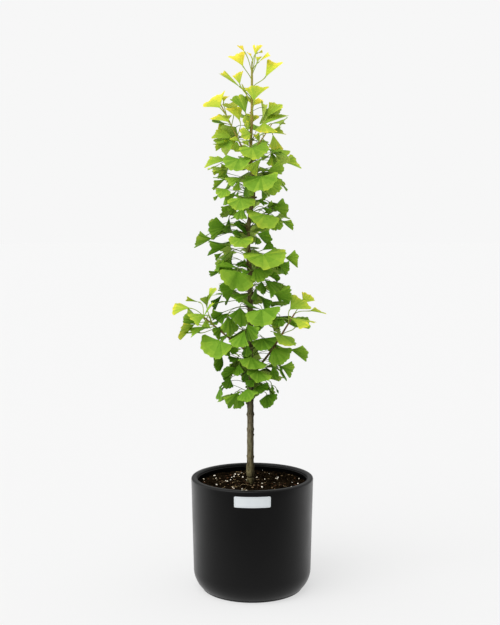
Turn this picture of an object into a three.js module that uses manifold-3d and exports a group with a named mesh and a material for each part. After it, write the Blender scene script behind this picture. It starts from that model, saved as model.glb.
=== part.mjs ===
// A young columnar ginkgo tree in a round pot.
//
// Millimetres, +Z up. The origin is the centre of the pot's flat underside, and -Y is the front.
// The pot holds the soil, the trunk stands on the soil, four side boughs leave the trunk, and the
// leaves are fifteen closed masses: ten whorls round the trunk, the tuft at its top, and one spray
// at the end of each bough. Neighbouring solids keep a small clearance.

import * as THREE from "three";
import { mergeVertices } from "three/addons/utils/BufferGeometryUtils.js";
import Module from "manifold-3d";

const wasm = await Module();
wasm.setup();

// ---------------------------------------------------------------- driving dimensions

const CLEARANCE = 0.35; // between neighbouring solids
const LEAF_CLEARANCE = 1; // by which a mass is grown where it is cut out of its neighbour

const POT = {
  height: 240,
  rimRadius: 131, // outside, at the top
  shoulderRadius: 126.4, // outside, where the wall turns in to the foot
  shoulderHeight: 42,
  turnRadius: 52, // of the arc from the wall to the foot
  footRadius: 105.5,
  footHeight: 3,
  wall: 13,
  floor: 14,
  rimRound: 3,
  insideRound: 30,
  sides: 40,
};

const SOIL_TOP = 224;

const LABEL = { width: 75, height: 22.5, corner: 2.5, thickness: 0.8, centreHeight: 217.3 };

const TRUNK = {
  foot: SOIL_TOP + CLEARANCE,
  tip: 1118,
  footPlace: [-4, -9],
  sides: 10,
  rings: 30,
  ringCrowding: 1.4, // the power that gathers the rings towards the foot
};

// The trunk's sideways wander, as [height, x, y].
const TRUNK_WANDER = [
  [TRUNK.foot, ...TRUNK.footPlace],
  [400, -4, -6],
  [525, -5.2, -2],
  [645, -4.4, 1],
  [770, -8.8, 0],
  [845, 2.6, -1],
  [915, -3.4, 0],
  [1010, -0.9, 1],
  [TRUNK.tip, -0.9, 0],
];

// The trunk's radius, as [height, radius]: the root flare, the swelling of the graft, and the taper.
const TRUNK_TAPER = [
  [TRUNK.foot, 8.8],
  [234, 7.8],
  [250, 8.1],
  [266, 7.2],
  [310, 7],
  [400, 6.8],
  [550, 6.1],
  [700, 5],
  [850, 3.8],
  [980, 3],
  [1100, 2.2],
  [TRUNK.tip, 1.1],
];

// Each bough leaves the trunk's axis at a height, passes a bend, and ends in its spray.
const BOUGHS = [
  { name: "bough_lower_left", from: 508, bend: [-49, -14, 540], tip: [-101, -20, 584], radius: 2.6 },
  { name: "bough_lower_right", from: 458, bend: [37, -12, 508], tip: [89, -20, 592], radius: 3 },
  { name: "bough_upper_left", from: 900, bend: [-29, -8, 955], tip: [-67, -14, 1030], radius: 2.2 },
  { name: "bough_upper_right", from: 928, bend: [17, -8, 952], tip: [41, -12, 988], radius: 1.9 },
];
const BOUGH_TIP_SHARE = 0.55; // of the bough's radius at its foot
const BOUGH_MESH = { sides: 7, rings: 8 };

// How far each mass of leaves reaches along X, Y and Z, how many lobes it has, and the angle of the
// first. The whorls run from the lowest to the highest.
const WHORLS = [
  { x: [-78, 59], y: [-66, 64], z: [384, 454], lobes: 5, turn: 0.5 },
  { x: [-82, 113], y: [-84, 76], z: [440, 518], lobes: 6, turn: 0.1 },
  { x: [-112, 87], y: [-80, 88], z: [502, 588], lobes: 6, turn: 0.7 },
  { x: [-93, 83], y: [-92, 80], z: [570, 652], lobes: 6, turn: 0.3 },
  { x: [-91, 99], y: [-86, 92], z: [636, 712], lobes: 6, turn: 0.9 },
  { x: [-123, 69], y: [-92, 82], z: [696, 778], lobes: 6, turn: 0.4 },
  { x: [-89, 89], y: [-84, 90], z: [762, 840], lobes: 6, turn: 1.0 },
  { x: [-84, 76], y: [-88, 76], z: [824, 900], lobes: 6, turn: 0.2 },
  { x: [-101, 100], y: [-76, 84], z: [884, 956], lobes: 6, turn: 0.8 },
  { x: [-82, 61], y: [-66, 68], z: [940, 1020], lobes: 5, turn: 0.6 },
];
const MASSES = [
  ...WHORLS.map((whorl, i) => ({ name: `foliage_whorl_${i + 1}`, ...whorl })),
  { name: "foliage_leader_tuft", x: [-66, 61], y: [-52, 54], z: [1006, 1149], lobes: 5, turn: 0.2 },
];
const SPRAYS = [
  { name: "foliage_spray_lower_left", x: [-168, -85], y: [-64, 30], z: [530, 640], lobes: 4, turn: 0.3 },
  { name: "foliage_spray_lower_right", x: [73, 151], y: [-64, 30], z: [526, 632], lobes: 4, turn: 0.8 },
  { name: "foliage_spray_upper_left", x: [-101, -45], y: [-46, 22], z: [984, 1056], lobes: 3, turn: 0.1 },
  { name: "foliage_spray_upper_right", x: [23, 72], y: [-44, 22], z: [964, 1028], lobes: 3, turn: 0.6 },
];

// A mass is drawn round the ball that is its middle. Its lobes are balls too, in shares of that one.
const LOBE = {
  offset: 0.5, // from the mass's middle
  radius: 0.62,
  rise: 0.3, // every second lobe is higher by this share, and the others lower
  unevenness: 0.09,
  fullness: 0.8, // the power that fills the mass out towards its top and bottom
};
const MASS_MESH = { around: 14, up: 7 };

const COLOURS = {
  pot: { color: 0x1d1d1e, roughness: 0.45 },
  soil: { color: 0x2b1c12, roughness: 0.95 },
  label: { color: 0xe9edf0, roughness: 0.4 },
  bark: { color: 0x6b6049, roughness: 0.85 },
  twig: { color: 0x7a5f3e, roughness: 0.8 },
  leaf: { color: 0x6f9e33, roughness: 0.55 },
  youngLeaf: { color: 0xb3c23a, roughness: 0.5 },
};

// ---------------------------------------------------------------- solids

// A closed geometry as a manifold-3d solid.
function solidOf(geometry) {
  const bare = new THREE.BufferGeometry().setAttribute("position", geometry.getAttribute("position"));
  bare.setIndex(geometry.getIndex());
  const merged = mergeVertices(bare, 1e-4);
  return new wasm.Manifold(
    new wasm.Mesh({
      numProp: 3,
      vertProperties: merged.getAttribute("position").array,
      triVerts: new Uint32Array(merged.getIndex().array),
    }),
  );
}

// A manifold-3d solid as a three.js geometry with flat faces.
function geometryOf(solid) {
  const { vertProperties, triVerts, numProp, numVert } = solid.getMesh();
  const places = new Float32Array(numVert * 3);
  for (let i = 0; i < numVert; i++) {
    places.set(vertProperties.subarray(i * numProp, i * numProp + 3), i * 3);
  }
  const shared = new THREE.BufferGeometry();
  shared.setAttribute("position", new THREE.BufferAttribute(places, 3));
  shared.setIndex(new THREE.BufferAttribute(triVerts, 1));
  const flat = shared.toNonIndexed();
  flat.computeVertexNormals();
  return flat;
}

// The largest body of a solid that a cut may have left in pieces.
function largestBody(solid) {
  return solid.decompose().reduce((most, body) => (body.volume() > most.volume() ? body : most));
}

const joined = (solids) => solids.reduce((all, solid) => all.add(solid));

// Linear interpolation in a table of [key, value, ...] rows, as an array of the values.
function lookUp(table, key) {
  const last = table.length - 1;
  const above = Math.min(Math.max(table.findIndex((row) => row[0] >= key), 1), last);
  const row = key > table[last][0] ? last : above;
  const [low, high] = [table[row - 1], table[row]];
  const share = THREE.MathUtils.clamp((key - low[0]) / (high[0] - low[0]), 0, 1);
  return low.slice(1).map((value, i) => THREE.MathUtils.lerp(value, high[i + 1], share));
}

// ---------------------------------------------------------------- pot, soil and label

const at = (radius, height) => new THREE.Vector2(radius, height);

// Points of an arc in a profile, from one angle to another.
function arc(radius, height, size, from, to, steps) {
  return Array.from({ length: steps + 1 }, (_, i) => {
    const angle = THREE.MathUtils.lerp(from, to, i / steps);
    return at(radius + size * Math.cos(angle), height + size * Math.sin(angle));
  });
}

// A profile of radius and height, turned round the Z axis.
const turned = (profile, sides = POT.sides) => new THREE.LatheGeometry(profile, sides).rotateX(Math.PI / 2);

// The angle below the horizontal at which the turn of the wall meets the foot.
const turnAngle = Math.asin((POT.shoulderHeight - POT.footHeight) / POT.turnRadius);
const quarter = Math.PI / 2;
const innerRadius = POT.rimRadius - POT.wall;
const innerShoulder = POT.shoulderRadius - POT.wall;

// The radius of a pot wall at a height above its shoulder, where it widens evenly up to the rim.
function wallRadiusAt(height, shoulder, rim) {
  const share = (height - POT.shoulderHeight) / (POT.height - POT.shoulderHeight);
  return THREE.MathUtils.lerp(shoulder, rim, share);
}

function potGeometry() {
  const round = POT.rimRound;
  const insideRoundTop = POT.floor + POT.insideRound;
  return turned([
    at(0, 0),
    at(POT.footRadius, 0),
    ...arc(POT.shoulderRadius - POT.turnRadius, POT.shoulderHeight, POT.turnRadius, -turnAngle, 0, 4),
    ...arc(POT.rimRadius - round, POT.height - round, round, 0, quarter, 2),
    ...arc(innerRadius + round, POT.height - round, round, quarter, 2 * quarter, 2),
    ...arc(innerShoulder - POT.insideRound, insideRoundTop, POT.insideRound, 0, -quarter, 3),
    at(0, POT.floor),
  ]);
}

// The soil fills the pot's inside, a clearance away from its wall and floor.
function soilGeometry() {
  const gap = 2 * CLEARANCE;
  const foot = POT.floor + gap;
  const topRadius = wallRadiusAt(SOIL_TOP, innerShoulder, innerRadius) - gap;
  const round = POT.insideRound;
  return turned([
    at(0, foot),
    ...arc(innerShoulder - gap - round, foot + round, round, -quarter, 0, 3),
    at(topRadius, SOIL_TOP),
    at(0, SOIL_TOP),
  ]);
}

// A blank label with rounded corners, bent round the front of the wall.
function labelGeometry() {
  const { width, height, corner, thickness, centreHeight } = LABEL;
  const [x, z] = [width / 2, height / 2];
  const outline = new THREE.Shape();
  outline.moveTo(-x + corner, -z);
  outline.lineTo(x - corner, -z);
  outline.absarc(x - corner, -z + corner, corner, -Math.PI / 2, 0, false);
  outline.lineTo(x, z - corner);
  outline.absarc(x - corner, z - corner, corner, 0, Math.PI / 2, false);
  outline.lineTo(-x + corner, z);
  outline.absarc(-x + corner, z - corner, corner, Math.PI / 2, Math.PI, false);
  outline.lineTo(-x, -z + corner);
  outline.absarc(-x + corner, -z + corner, corner, Math.PI, 1.5 * Math.PI, false);
  const extrusion = { depth: POT.rimRadius, bevelEnabled: false, curveSegments: 3 };
  const plug = new THREE.ExtrudeGeometry(outline, extrusion);
  plug.rotateX(Math.PI / 2).translate(0, -POT.rimRadius * 0.5, centreHeight);

  // The band round the whole wall from which the label is cut.
  const edge = (z, out) => at(wallRadiusAt(z, POT.shoulderRadius, POT.rimRadius) + CLEARANCE + out, z);
  const [low, high] = [centreHeight - height, centreHeight + height];
  const band = [edge(low, 0), edge(low, thickness), edge(high, thickness), edge(high, 0), edge(low, 0)];
  return geometryOf(solidOf(turned(band)).intersect(solidOf(plug)));
}

// ---------------------------------------------------------------- trunk and boughs

const trunkPlace = new THREE.CatmullRomCurve3(
  TRUNK_WANDER.map(([height, x, y]) => new THREE.Vector3(x, y, height)),
);

// The trunk's axis at a height, as a Vector3.
function trunkAt(height) {
  let [low, high] = [0, 1];
  for (let i = 0; i < 24; i++) {
    const middle = (low + high) / 2;
    [low, high] = trunkPlace.getPoint(middle).z < height ? [middle, high] : [low, middle];
  }
  return trunkPlace.getPoint(low);
}

// A closed cylinder whose every vertex is moved by a rule of the share of the length, the angle and the
// share of the radius.
function bentCylinder(sides, rings, place) {
  const cylinder = new THREE.CylinderGeometry(1, 1, 1, sides, rings);
  cylinder.rotateX(Math.PI / 2);
  const places = cylinder.getAttribute("position");
  for (let i = 0; i < places.count; i++) {
    const [x, y, z] = [places.getX(i), places.getY(i), places.getZ(i)];
    const moved = place(z + 0.5, Math.atan2(y, x), Math.hypot(x, y));
    places.setXYZ(i, moved.x, moved.y, moved.z);
  }
  return cylinder;
}

// The trunk with level rings, grown by a margin all round.
function trunkGeometry(margin = 0) {
  return bentCylinder(TRUNK.sides, TRUNK.rings, (share, angle, out) => {
    const height = THREE.MathUtils.lerp(TRUNK.foot, TRUNK.tip, share ** TRUNK.ringCrowding);
    const size = (lookUp(TRUNK_TAPER, height)[0] + margin) * out;
    const overrun = margin * Math.round(2 * share - 1);
    const axis = trunkAt(height);
    return axis.add(new THREE.Vector3(size * Math.cos(angle), size * Math.sin(angle), overrun));
  });
}

// One tapering limb from the trunk's axis to its tip, grown by a margin all round.
function boughGeometry({ from, bend, tip, radius }, margin = 0) {
  const path = new THREE.CatmullRomCurve3([
    trunkAt(from),
    new THREE.Vector3(...bend),
    new THREE.Vector3(...tip),
  ]);
  return bentCylinder(BOUGH_MESH.sides, BOUGH_MESH.rings, (share, angle, out) => {
    const along = path.getTangentAt(share);
    const across = new THREE.Vector3(0, 1, 0).cross(along).normalize();
    const over = along.clone().cross(across);
    const size = (radius * THREE.MathUtils.lerp(1, BOUGH_TIP_SHARE, share) + margin) * out;
    return path
      .getPointAt(share)
      .addScaledVector(across, size * Math.cos(angle))
      .addScaledVector(over, size * Math.sin(angle));
  });
}

// ---------------------------------------------------------------- masses of leaves

// How far the lobes reach from the mass's middle in a direction: the furthest of the balls it leaves.
function reachOf(direction, { lobes, turn }) {
  let reach = 0;
  for (let i = 0; i < lobes; i++) {
    const angle = turn + (i * 2 * Math.PI) / lobes;
    const rise = i % 2 ? LOBE.rise : -LOBE.rise;
    const middle = new THREE.Vector3(LOBE.offset * Math.cos(angle), LOBE.offset * Math.sin(angle), rise);
    const along = direction.dot(middle);
    const rest = along * along - middle.lengthSq() + LOBE.radius ** 2;
    if (rest > 0) reach = Math.max(reach, along + Math.sqrt(rest));
  }
  return reach;
}

// A ball whose points move out to the lobes' surface, with waves that differ from mass to mass.
function lobedGeometry(mass) {
  const ball = new THREE.SphereGeometry(1, MASS_MESH.around, MASS_MESH.up).rotateX(Math.PI / 2);
  const places = ball.getAttribute("position");
  const phase = mass.turn * 7;
  const point = new THREE.Vector3();
  for (let i = 0; i < places.count; i++) {
    point.fromBufferAttribute(places, i).normalize();
    const wave = Math.sin(5 * point.x + phase) * Math.cos(4 * point.y - phase) + Math.sin(6 * point.z + phase);
    point.multiplyScalar(reachOf(point, mass) * (1 + LOBE.unevenness * wave));
    point.z = Math.sign(point.z) * Math.abs(point.z) ** LOBE.fullness;
    places.setXYZ(i, point.x, point.y, point.z);
  }
  return ball;
}

// A mass's solid, stretched to just fill its stated reach plus a margin.
function massSolid(mass, margin = 0) {
  const geometry = lobedGeometry(mass);
  geometry.computeBoundingBox();
  const { min, max } = geometry.boundingBox;
  const low = new THREE.Vector3(mass.x[0], mass.y[0], mass.z[0]).subScalar(margin);
  const high = new THREE.Vector3(mass.x[1], mass.y[1], mass.z[1]).addScalar(margin);
  geometry.translate(-min.x, -min.y, -min.z);
  geometry.scale(...high.clone().sub(low).divide(max.clone().sub(min)).toArray());
  geometry.translate(...low.toArray());
  return solidOf(geometry);
}

// ---------------------------------------------------------------- assembly

const tree = new THREE.Group();

function addPiece(name, geometry, look) {
  const mesh = new THREE.Mesh(geometry, new THREE.MeshStandardMaterial({ metalness: 0, ...look }));
  mesh.name = name;
  tree.add(mesh);
}

addPiece("pot", potGeometry(), COLOURS.pot);
addPiece("soil", soilGeometry(), COLOURS.soil);
addPiece("label", labelGeometry(), COLOURS.label);
addPiece("trunk", trunkGeometry(), COLOURS.bark);

const trunkRoom = solidOf(trunkGeometry(CLEARANCE));
const sprayRoom = joined(SPRAYS.map((spray) => massSolid(spray, LEAF_CLEARANCE)));
for (const bough of BOUGHS) {
  const limb = solidOf(boughGeometry(bough)).subtract(trunkRoom).subtract(sprayRoom);
  addPiece(bough.name, geometryOf(largestBody(limb)), COLOURS.twig);
}

for (const spray of SPRAYS) {
  addPiece(spray.name, geometryOf(massSolid(spray)), COLOURS.youngLeaf);
}

// Each mass gives way to the limbs, the sprays and the mass under it.
const limbRoom = joined([trunkRoom, ...BOUGHS.map((bough) => solidOf(boughGeometry(bough, CLEARANCE)))]);
for (const [i, mass] of MASSES.entries()) {
  let leaves = massSolid(mass).subtract(limbRoom).subtract(sprayRoom);
  if (i > 0) leaves = leaves.subtract(massSolid(MASSES[i - 1], LEAF_CLEARANCE));
  addPiece(mass.name, geometryOf(largestBody(leaves)), COLOURS.leaf);
}

export default tree;
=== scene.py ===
"""A young columnar ginkgo in a round black pot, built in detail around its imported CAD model.

Lengths are in metres in the CAD frame: +Z is up, -Y is the front, and the origin is the middle of
the pot's flat underside. Sizes in the dataclasses are millimetres and are turned into metres with MM
where they are used. Leaves grow from spurs on the trunk and the boughs: the ones that stand out are
told one by one, and the others follow a seeded rule for each mass of leaves.
"""

import logging
import math
from dataclasses import dataclass
from enum import Enum
from functools import cache

import bpy
import numpy as np
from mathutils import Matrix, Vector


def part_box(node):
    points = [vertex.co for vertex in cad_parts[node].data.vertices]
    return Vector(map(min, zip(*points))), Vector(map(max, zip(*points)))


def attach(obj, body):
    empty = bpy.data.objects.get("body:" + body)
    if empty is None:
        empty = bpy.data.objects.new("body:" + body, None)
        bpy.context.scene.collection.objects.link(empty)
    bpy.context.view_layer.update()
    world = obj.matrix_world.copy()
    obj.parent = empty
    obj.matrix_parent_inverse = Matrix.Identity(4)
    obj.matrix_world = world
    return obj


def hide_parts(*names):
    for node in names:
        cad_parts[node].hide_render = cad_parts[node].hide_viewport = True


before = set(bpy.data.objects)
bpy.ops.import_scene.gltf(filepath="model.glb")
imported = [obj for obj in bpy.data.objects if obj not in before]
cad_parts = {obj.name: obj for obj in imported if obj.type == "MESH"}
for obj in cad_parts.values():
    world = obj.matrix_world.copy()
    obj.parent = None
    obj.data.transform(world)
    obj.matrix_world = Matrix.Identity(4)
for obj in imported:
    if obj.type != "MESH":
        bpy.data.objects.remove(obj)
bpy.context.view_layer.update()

log = logging.getLogger("ginkgo")

MM = 0.001
FRONT = np.array([0.0, -1.0, 0.0])
UP = np.array([0.0, 0.0, 1.0])
GOLDEN_ANGLE = math.pi * (3 - math.sqrt(5))
WHITE = (1.0, 1.0, 1.0)
YOUNG = "young_leaf"

Array = np.ndarray
Chance = np.random.Generator
Pair = tuple[float, float]
Triple = tuple[float, float, float]
Row = tuple[float, ...]
Faces = list[tuple[int, ...]]
Colour = Triple
Mesh = bpy.types.Mesh
Material = bpy.types.Material
Node = bpy.types.Node
Socket = bpy.types.NodeSocket


class Shape(Enum):
    """A leaf's fan, by half of its width as a share of its length."""

    WEDGE = 0.66
    FAN = 0.8
    BROAD = 0.88
    HEART = 0.92


WEDGE, FAN, BROAD, HEART = Shape


# ---------------------------------------------------------------- small helpers


def unit(vector: Array) -> Array:
    """Returns the vector at length one."""
    return vector / np.linalg.norm(vector)


def level(heading: float) -> Array:
    """Returns the level direction at a heading in radians."""
    return np.array([math.cos(heading), math.sin(heading), 0.0])


def clamp(value: float, low: float, high: float) -> float:
    """Returns the value, held between two limits."""
    return max(low, min(high, value))


def smooth_path(points: Array, count: int) -> Array:
    """Draws a Catmull-Rom curve through points of any dimension.

    Args:
        points: the points that the curve passes, one row each.
        count: how many points to return.

    Returns:
        The curve's points, evenly spread over its spans.
    """
    padded = np.vstack([2 * points[0] - points[1], points, 2 * points[-1] - points[-2]])
    place = np.linspace(0, len(points) - 1, count)
    span = np.minimum(place.astype(int), len(points) - 2)
    t = (place - span)[:, None]
    p0, p1, p2, p3 = (padded[span + i] for i in range(4))
    squared = (2 * p0 - 5 * p1 + 4 * p2 - p3) * t**2
    cubed = (3 * p1 - p0 - 3 * p2 + p3) * t**3
    return 0.5 * (2 * p1 + (p2 - p0) * t + squared + cubed)


def bezier(start: Array, rise: Array, fall: Array, end: Array, count: int) -> Array:
    """Returns points of the cubic curve from start to end with its two control points between."""
    t = np.linspace(0, 1, count)[:, None]
    return (1 - t) ** 3 * start + 3 * (1 - t) ** 2 * t * rise + 3 * (1 - t) * t**2 * fall + t**3 * end


@dataclass(frozen=True)
class Stem:
    """A tapering stem: its points, one row each, and its radius at each of them."""

    points: Array
    radii: Array

    def at(self, share: float) -> Array:
        """Returns the point at a share of the way along."""
        place = share * (len(self.points) - 1)
        return np.array([np.interp(place, range(len(self.points)), column) for column in self.points.T])

    def radius_at(self, share: float) -> float:
        """Returns the radius at a share of the way along."""
        return float(np.interp(share * (len(self.radii) - 1), range(len(self.radii)), self.radii))

    def along(self, share: float) -> Array:
        """Returns the stem's direction at a share of the way along."""
        return unit(self.at(min(1.0, share + 0.02)) - self.at(max(0.0, share - 0.02)))

    def share_at_height(self, height: float) -> float:
        """Returns how far along a rising stem reaches a height."""
        return float(np.interp(height, self.points[:, 2], np.linspace(0, 1, len(self.points))))


def ring_faces(rings: int, sides: int, start: int = 0, closed: bool = False) -> Faces:
    """Returns the faces between rings of points.

    Args:
        rings: how many rings there are.
        sides: how many points each ring has.
        start: the first point's number.
        closed: whether the last ring joins the first.

    Returns:
        One face of four corners for each side between neighbouring rings.
    """
    faces = []
    for ring in range(rings if closed else rings - 1):
        here, there = start + ring * sides, start + (ring + 1) % rings * sides
        turns = [(i, (i + 1) % sides) for i in range(sides)]
        faces += [(here + i, there + i, there + j, here + j) for i, j in turns]
    return faces


def closed_body(first: Array, rings: list[Array], last: Array) -> tuple[Array, Faces]:
    """Closes a row of rings with a middle point at each end.

    Args:
        first: the middle of the first end.
        rings: the rings, which turn counter-clockwise seen from beyond the first end.
        last: the middle of the last end.

    Returns:
        The body's points and faces.
    """
    sides = len(rings[0])
    points = np.vstack([first, *rings, last])
    final, middle = 1 + (len(rings) - 1) * sides, len(points) - 1
    faces = [(0, 1 + i, 1 + (i + 1) % sides) for i in range(sides)]
    faces += ring_faces(len(rings), sides, 1)
    faces += [(final + i, middle, final + (i + 1) % sides) for i in range(sides)]
    return points, faces


def sheet_faces(rows: int, columns: int) -> Array:
    """Returns the faces of a thin closed sheet on a grid.

    Args:
        rows: how many rows of faces it has.
        columns: how many columns of faces it has.

    Returns:
        The upper side's faces, the under side's, and the rim's at the last row, the first row, the
        first column and the last column. The upper side's points come first, row by row.
    """
    step = columns + 1
    under = step * (rows + 1)
    first = (np.arange(rows)[:, None] * step + np.arange(columns)).ravel()
    upper = np.stack([first, first + step, first + step + 1, first + 1], axis=1)
    inner, side = np.arange(columns), np.arange(rows) * step
    outer, other = rows * step + inner, side + columns
    rims = [
        (outer, outer + under, outer + 1 + under, outer + 1),
        (inner, inner + 1, inner + 1 + under, inner + under),
        (side, side + under, side + step + under, side + step),
        (other, other + step, other + step + under, other + under),
    ]
    return np.vstack([upper, upper[:, ::-1] + under, *(np.stack(rim, axis=1) for rim in rims)])


def mesh_from(name: str, points: Array, faces: Faces | Array, sharp_degrees: float = 0.0) -> Mesh:
    """Makes a mesh.

    Args:
        name: the mesh's name.
        points: its points in metres.
        faces: the numbers of each face's corners.
        sharp_degrees: the angle past which an edge stays sharp on a smooth mesh, or 0 for a flat one.

    Returns:
        The mesh.
    """
    mesh = bpy.data.meshes.new(name)
    mesh.from_pydata(points.tolist(), [], [tuple(map(int, face)) for face in faces])
    if sharp_degrees:
        mesh.shade_smooth()
        mesh.set_sharp_from_angle(angle=math.radians(sharp_degrees))
    return mesh


def add_piece(name: str, mesh: Mesh, slot: str, *replaced: str) -> None:
    """Puts a finished mesh in the scene.

    Args:
        name: the piece's name.
        mesh: its mesh, with its place in its points.
        slot: the record's material slot that the piece belongs to; not used.
        replaced: the CAD nodes that it stands for.
    """
    piece = bpy.data.objects.new(name, mesh)
    bpy.context.scene.collection.objects.link(piece)
    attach(piece, "root")
    if replaced:
        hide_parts(*replaced)
    log.info("%s: %d triangles", name, sum(len(face.vertices) - 2 for face in mesh.polygons))


def opaque(colour: Colour | Socket) -> object:
    """Returns a colour with its fourth value, or a socket as it is."""
    return (*colour, 1.0) if isinstance(colour, tuple) else colour


class Wiring:
    """Adds nodes to a node tree and links them."""

    def __init__(self, tree: bpy.types.NodeTree) -> None:
        """Takes a tree and empties it."""
        self.tree = tree
        tree.nodes.clear()

    def add(self, kind: str, inputs: dict | None = None, **settings: object) -> Node:
        """Adds a node.

        Args:
            kind: the node's type name.
            inputs: a value or an output socket for each named or numbered input.
            settings: the node's own properties.

        Returns:
            The node.
        """
        node = self.tree.nodes.new(kind)
        for name, value in settings.items():
            setattr(node, name, value)
        for key, value in (inputs or {}).items():
            if isinstance(value, Socket):
                self.tree.links.new(value, node.inputs[key])
            else:
                node.inputs[key].default_value = value
        return node

    def link(self, output: Socket, node: Node, name: str) -> None:
        """Links an output to a node's first input of a name or identifier."""
        target = next(socket for socket in node.inputs if name in (socket.name, socket.identifier))
        self.tree.links.new(output, target)

    def numbers(self, operation: str, first: object, second: object = 0.0) -> Socket:
        """Returns the result of one operation on numbers."""
        return self.add("ShaderNodeMath", {0: first, 1: second}, operation=operation).outputs[0]

    def vectors(self, operation: str, first: object, second: object) -> Socket:
        """Returns the result of one operation on two vectors."""
        return self.add("ShaderNodeVectorMath", {0: first, 1: second}, operation=operation).outputs[0]

    def scaled(self, vector: object, scale: object) -> Socket:
        """Returns a vector times a number."""
        return self.add("ShaderNodeVectorMath", {0: vector, "Scale": scale}, operation="SCALE").outputs[0]

    def remap(self, value: object, low: float, high: float, to_low: float, to_high: float) -> Socket:
        """Returns a value moved from one range to another and held there."""
        inputs = {"Value": value, "From Min": low, "From Max": high, "To Min": to_low, "To Max": to_high}
        return self.add("ShaderNodeMapRange", inputs).outputs["Result"]

    def noise(self, vector: object, scale: object, detail: float = 3.0, seed: object = 0.0) -> Socket:
        """Returns a seeded noise value at a place."""
        inputs = {"Vector": vector, "W": seed, "Scale": scale, "Detail": detail}
        return self.add("ShaderNodeTexNoise", inputs, noise_dimensions="4D").outputs[0]

    def mix(self, share: object, first: Colour | Socket, second: Colour | Socket) -> Socket:
        """Returns a mix of two colours."""
        inputs = {0: share, 6: opaque(first), 7: opaque(second)}
        return self.add("ShaderNodeMix", inputs, data_type="RGBA").outputs[2]

    def between(self, share: object, first: object, second: object) -> Socket:
        """Returns a number at a share of the way between two others."""
        return self.add("ShaderNodeMix", {0: share, 2: first, 3: second}).outputs[0]

    def ramp(self, share: object, stops: tuple[tuple[float, Colour], ...]) -> Socket:
        """Returns the colour at a share of the way through some stops.

        Args:
            share: the share.
            stops: each stop's place and colour.

        Returns:
            The colour.
        """
        node = self.add("ShaderNodeValToRGB", {"Fac": share})
        elements = node.color_ramp.elements
        while len(elements) < len(stops):
            elements.new(0.5)
        for element, (place, colour) in zip(elements, stops):
            element.position = place
            element.color = (*colour, 1.0)
        return node.outputs["Color"]


# ---------------------------------------------------------------- finishes


@dataclass(frozen=True)
class Finish:
    """A plain finish: one colour and how it takes the light."""

    name: str
    colour: Colour
    roughness: float = 0.5
    specular: float = 0.5

    @cache
    def material(self) -> Material:
        """Makes the finish's material, once.

        Returns:
            The material.
        """
        material = bpy.data.materials.new(self.name)
        material.use_nodes = True
        wires = Wiring(material.node_tree)
        inputs = {"Base Color": opaque(self.colour), "Roughness": self.roughness}
        shader = wires.add("ShaderNodeBsdfPrincipled", {**inputs, "Specular IOR Level": self.specular})
        wires.add("ShaderNodeOutputMaterial", {"Surface": shader.outputs[0]})
        self.dress(wires, shader, wires.add("ShaderNodeTexCoord").outputs["Object"])
        return material

    def dress(self, wires: Wiring, shader: Node, place: Socket) -> None:
        """Adds what varies from place to place. A plain finish adds nothing.

        Args:
            wires: the material's wiring.
            shader: its shader.
            place: the place on the object.
        """

    def add_relief(self, wires: Wiring, shader: Node, height: object, depth: float) -> None:
        """Gives the surface a fine relief of a height in 0 to 1 and a depth in millimetres."""
        bump = wires.add("ShaderNodeBump", {"Height": height, "Distance": depth * MM, "Strength": 1.0})
        wires.link(bump.outputs[0], shader, "Normal")


@dataclass(frozen=True)
class PotFinish(Finish):
    """Matt black stoneware: a fine tooth, cloudy sheen, and a little dust low down and on the rim.

    Lengths are in millimetres, and a pattern's scale is how often it repeats in a metre.
    """

    dust: Colour = (0.009, 0.0087, 0.0083)
    foot_dust: float = 0.55
    foot_dust_top: float = 30.0
    all_dust: float = 0.12
    rim_dust: float = 0.35
    rim: Pair = (236.0, 240.0)
    cloud_scale: float = 22.0
    tooth_scale: float = 1400.0
    tooth: float = 0.05

    def dress(self, wires: Wiring, shader: Node, place: Socket) -> None:
        """Adds the dust, the cloudy sheen and the tooth."""
        height = wires.add("ShaderNodeSeparateXYZ", {0: place}).outputs["Z"]
        cloud = wires.noise(place, self.cloud_scale, 4.0)
        low = wires.remap(height, 0.0, self.foot_dust_top * MM, self.foot_dust, 0.0)
        high = wires.remap(height, self.rim[0] * MM, self.rim[1] * MM, 0.0, self.rim_dust)
        dust = wires.numbers("ADD", wires.numbers("ADD", low, high), self.all_dust)
        dusty = wires.mix(wires.numbers("MULTIPLY", dust, cloud), self.colour, self.dust)
        wires.link(dusty, shader, "Base Color")
        fine = wires.noise(place, self.tooth_scale, 2.0, 3.0)
        sheen = wires.remap(cloud, 0.3, 0.7, self.roughness - 0.03, self.roughness + 0.04)
        rough = wires.numbers("ADD", sheen, wires.remap(fine, 0.3, 0.7, -0.03, 0.03))
        wires.link(rough, shader, "Roughness")
        self.add_relief(wires, shader, fine, self.tooth)


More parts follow.
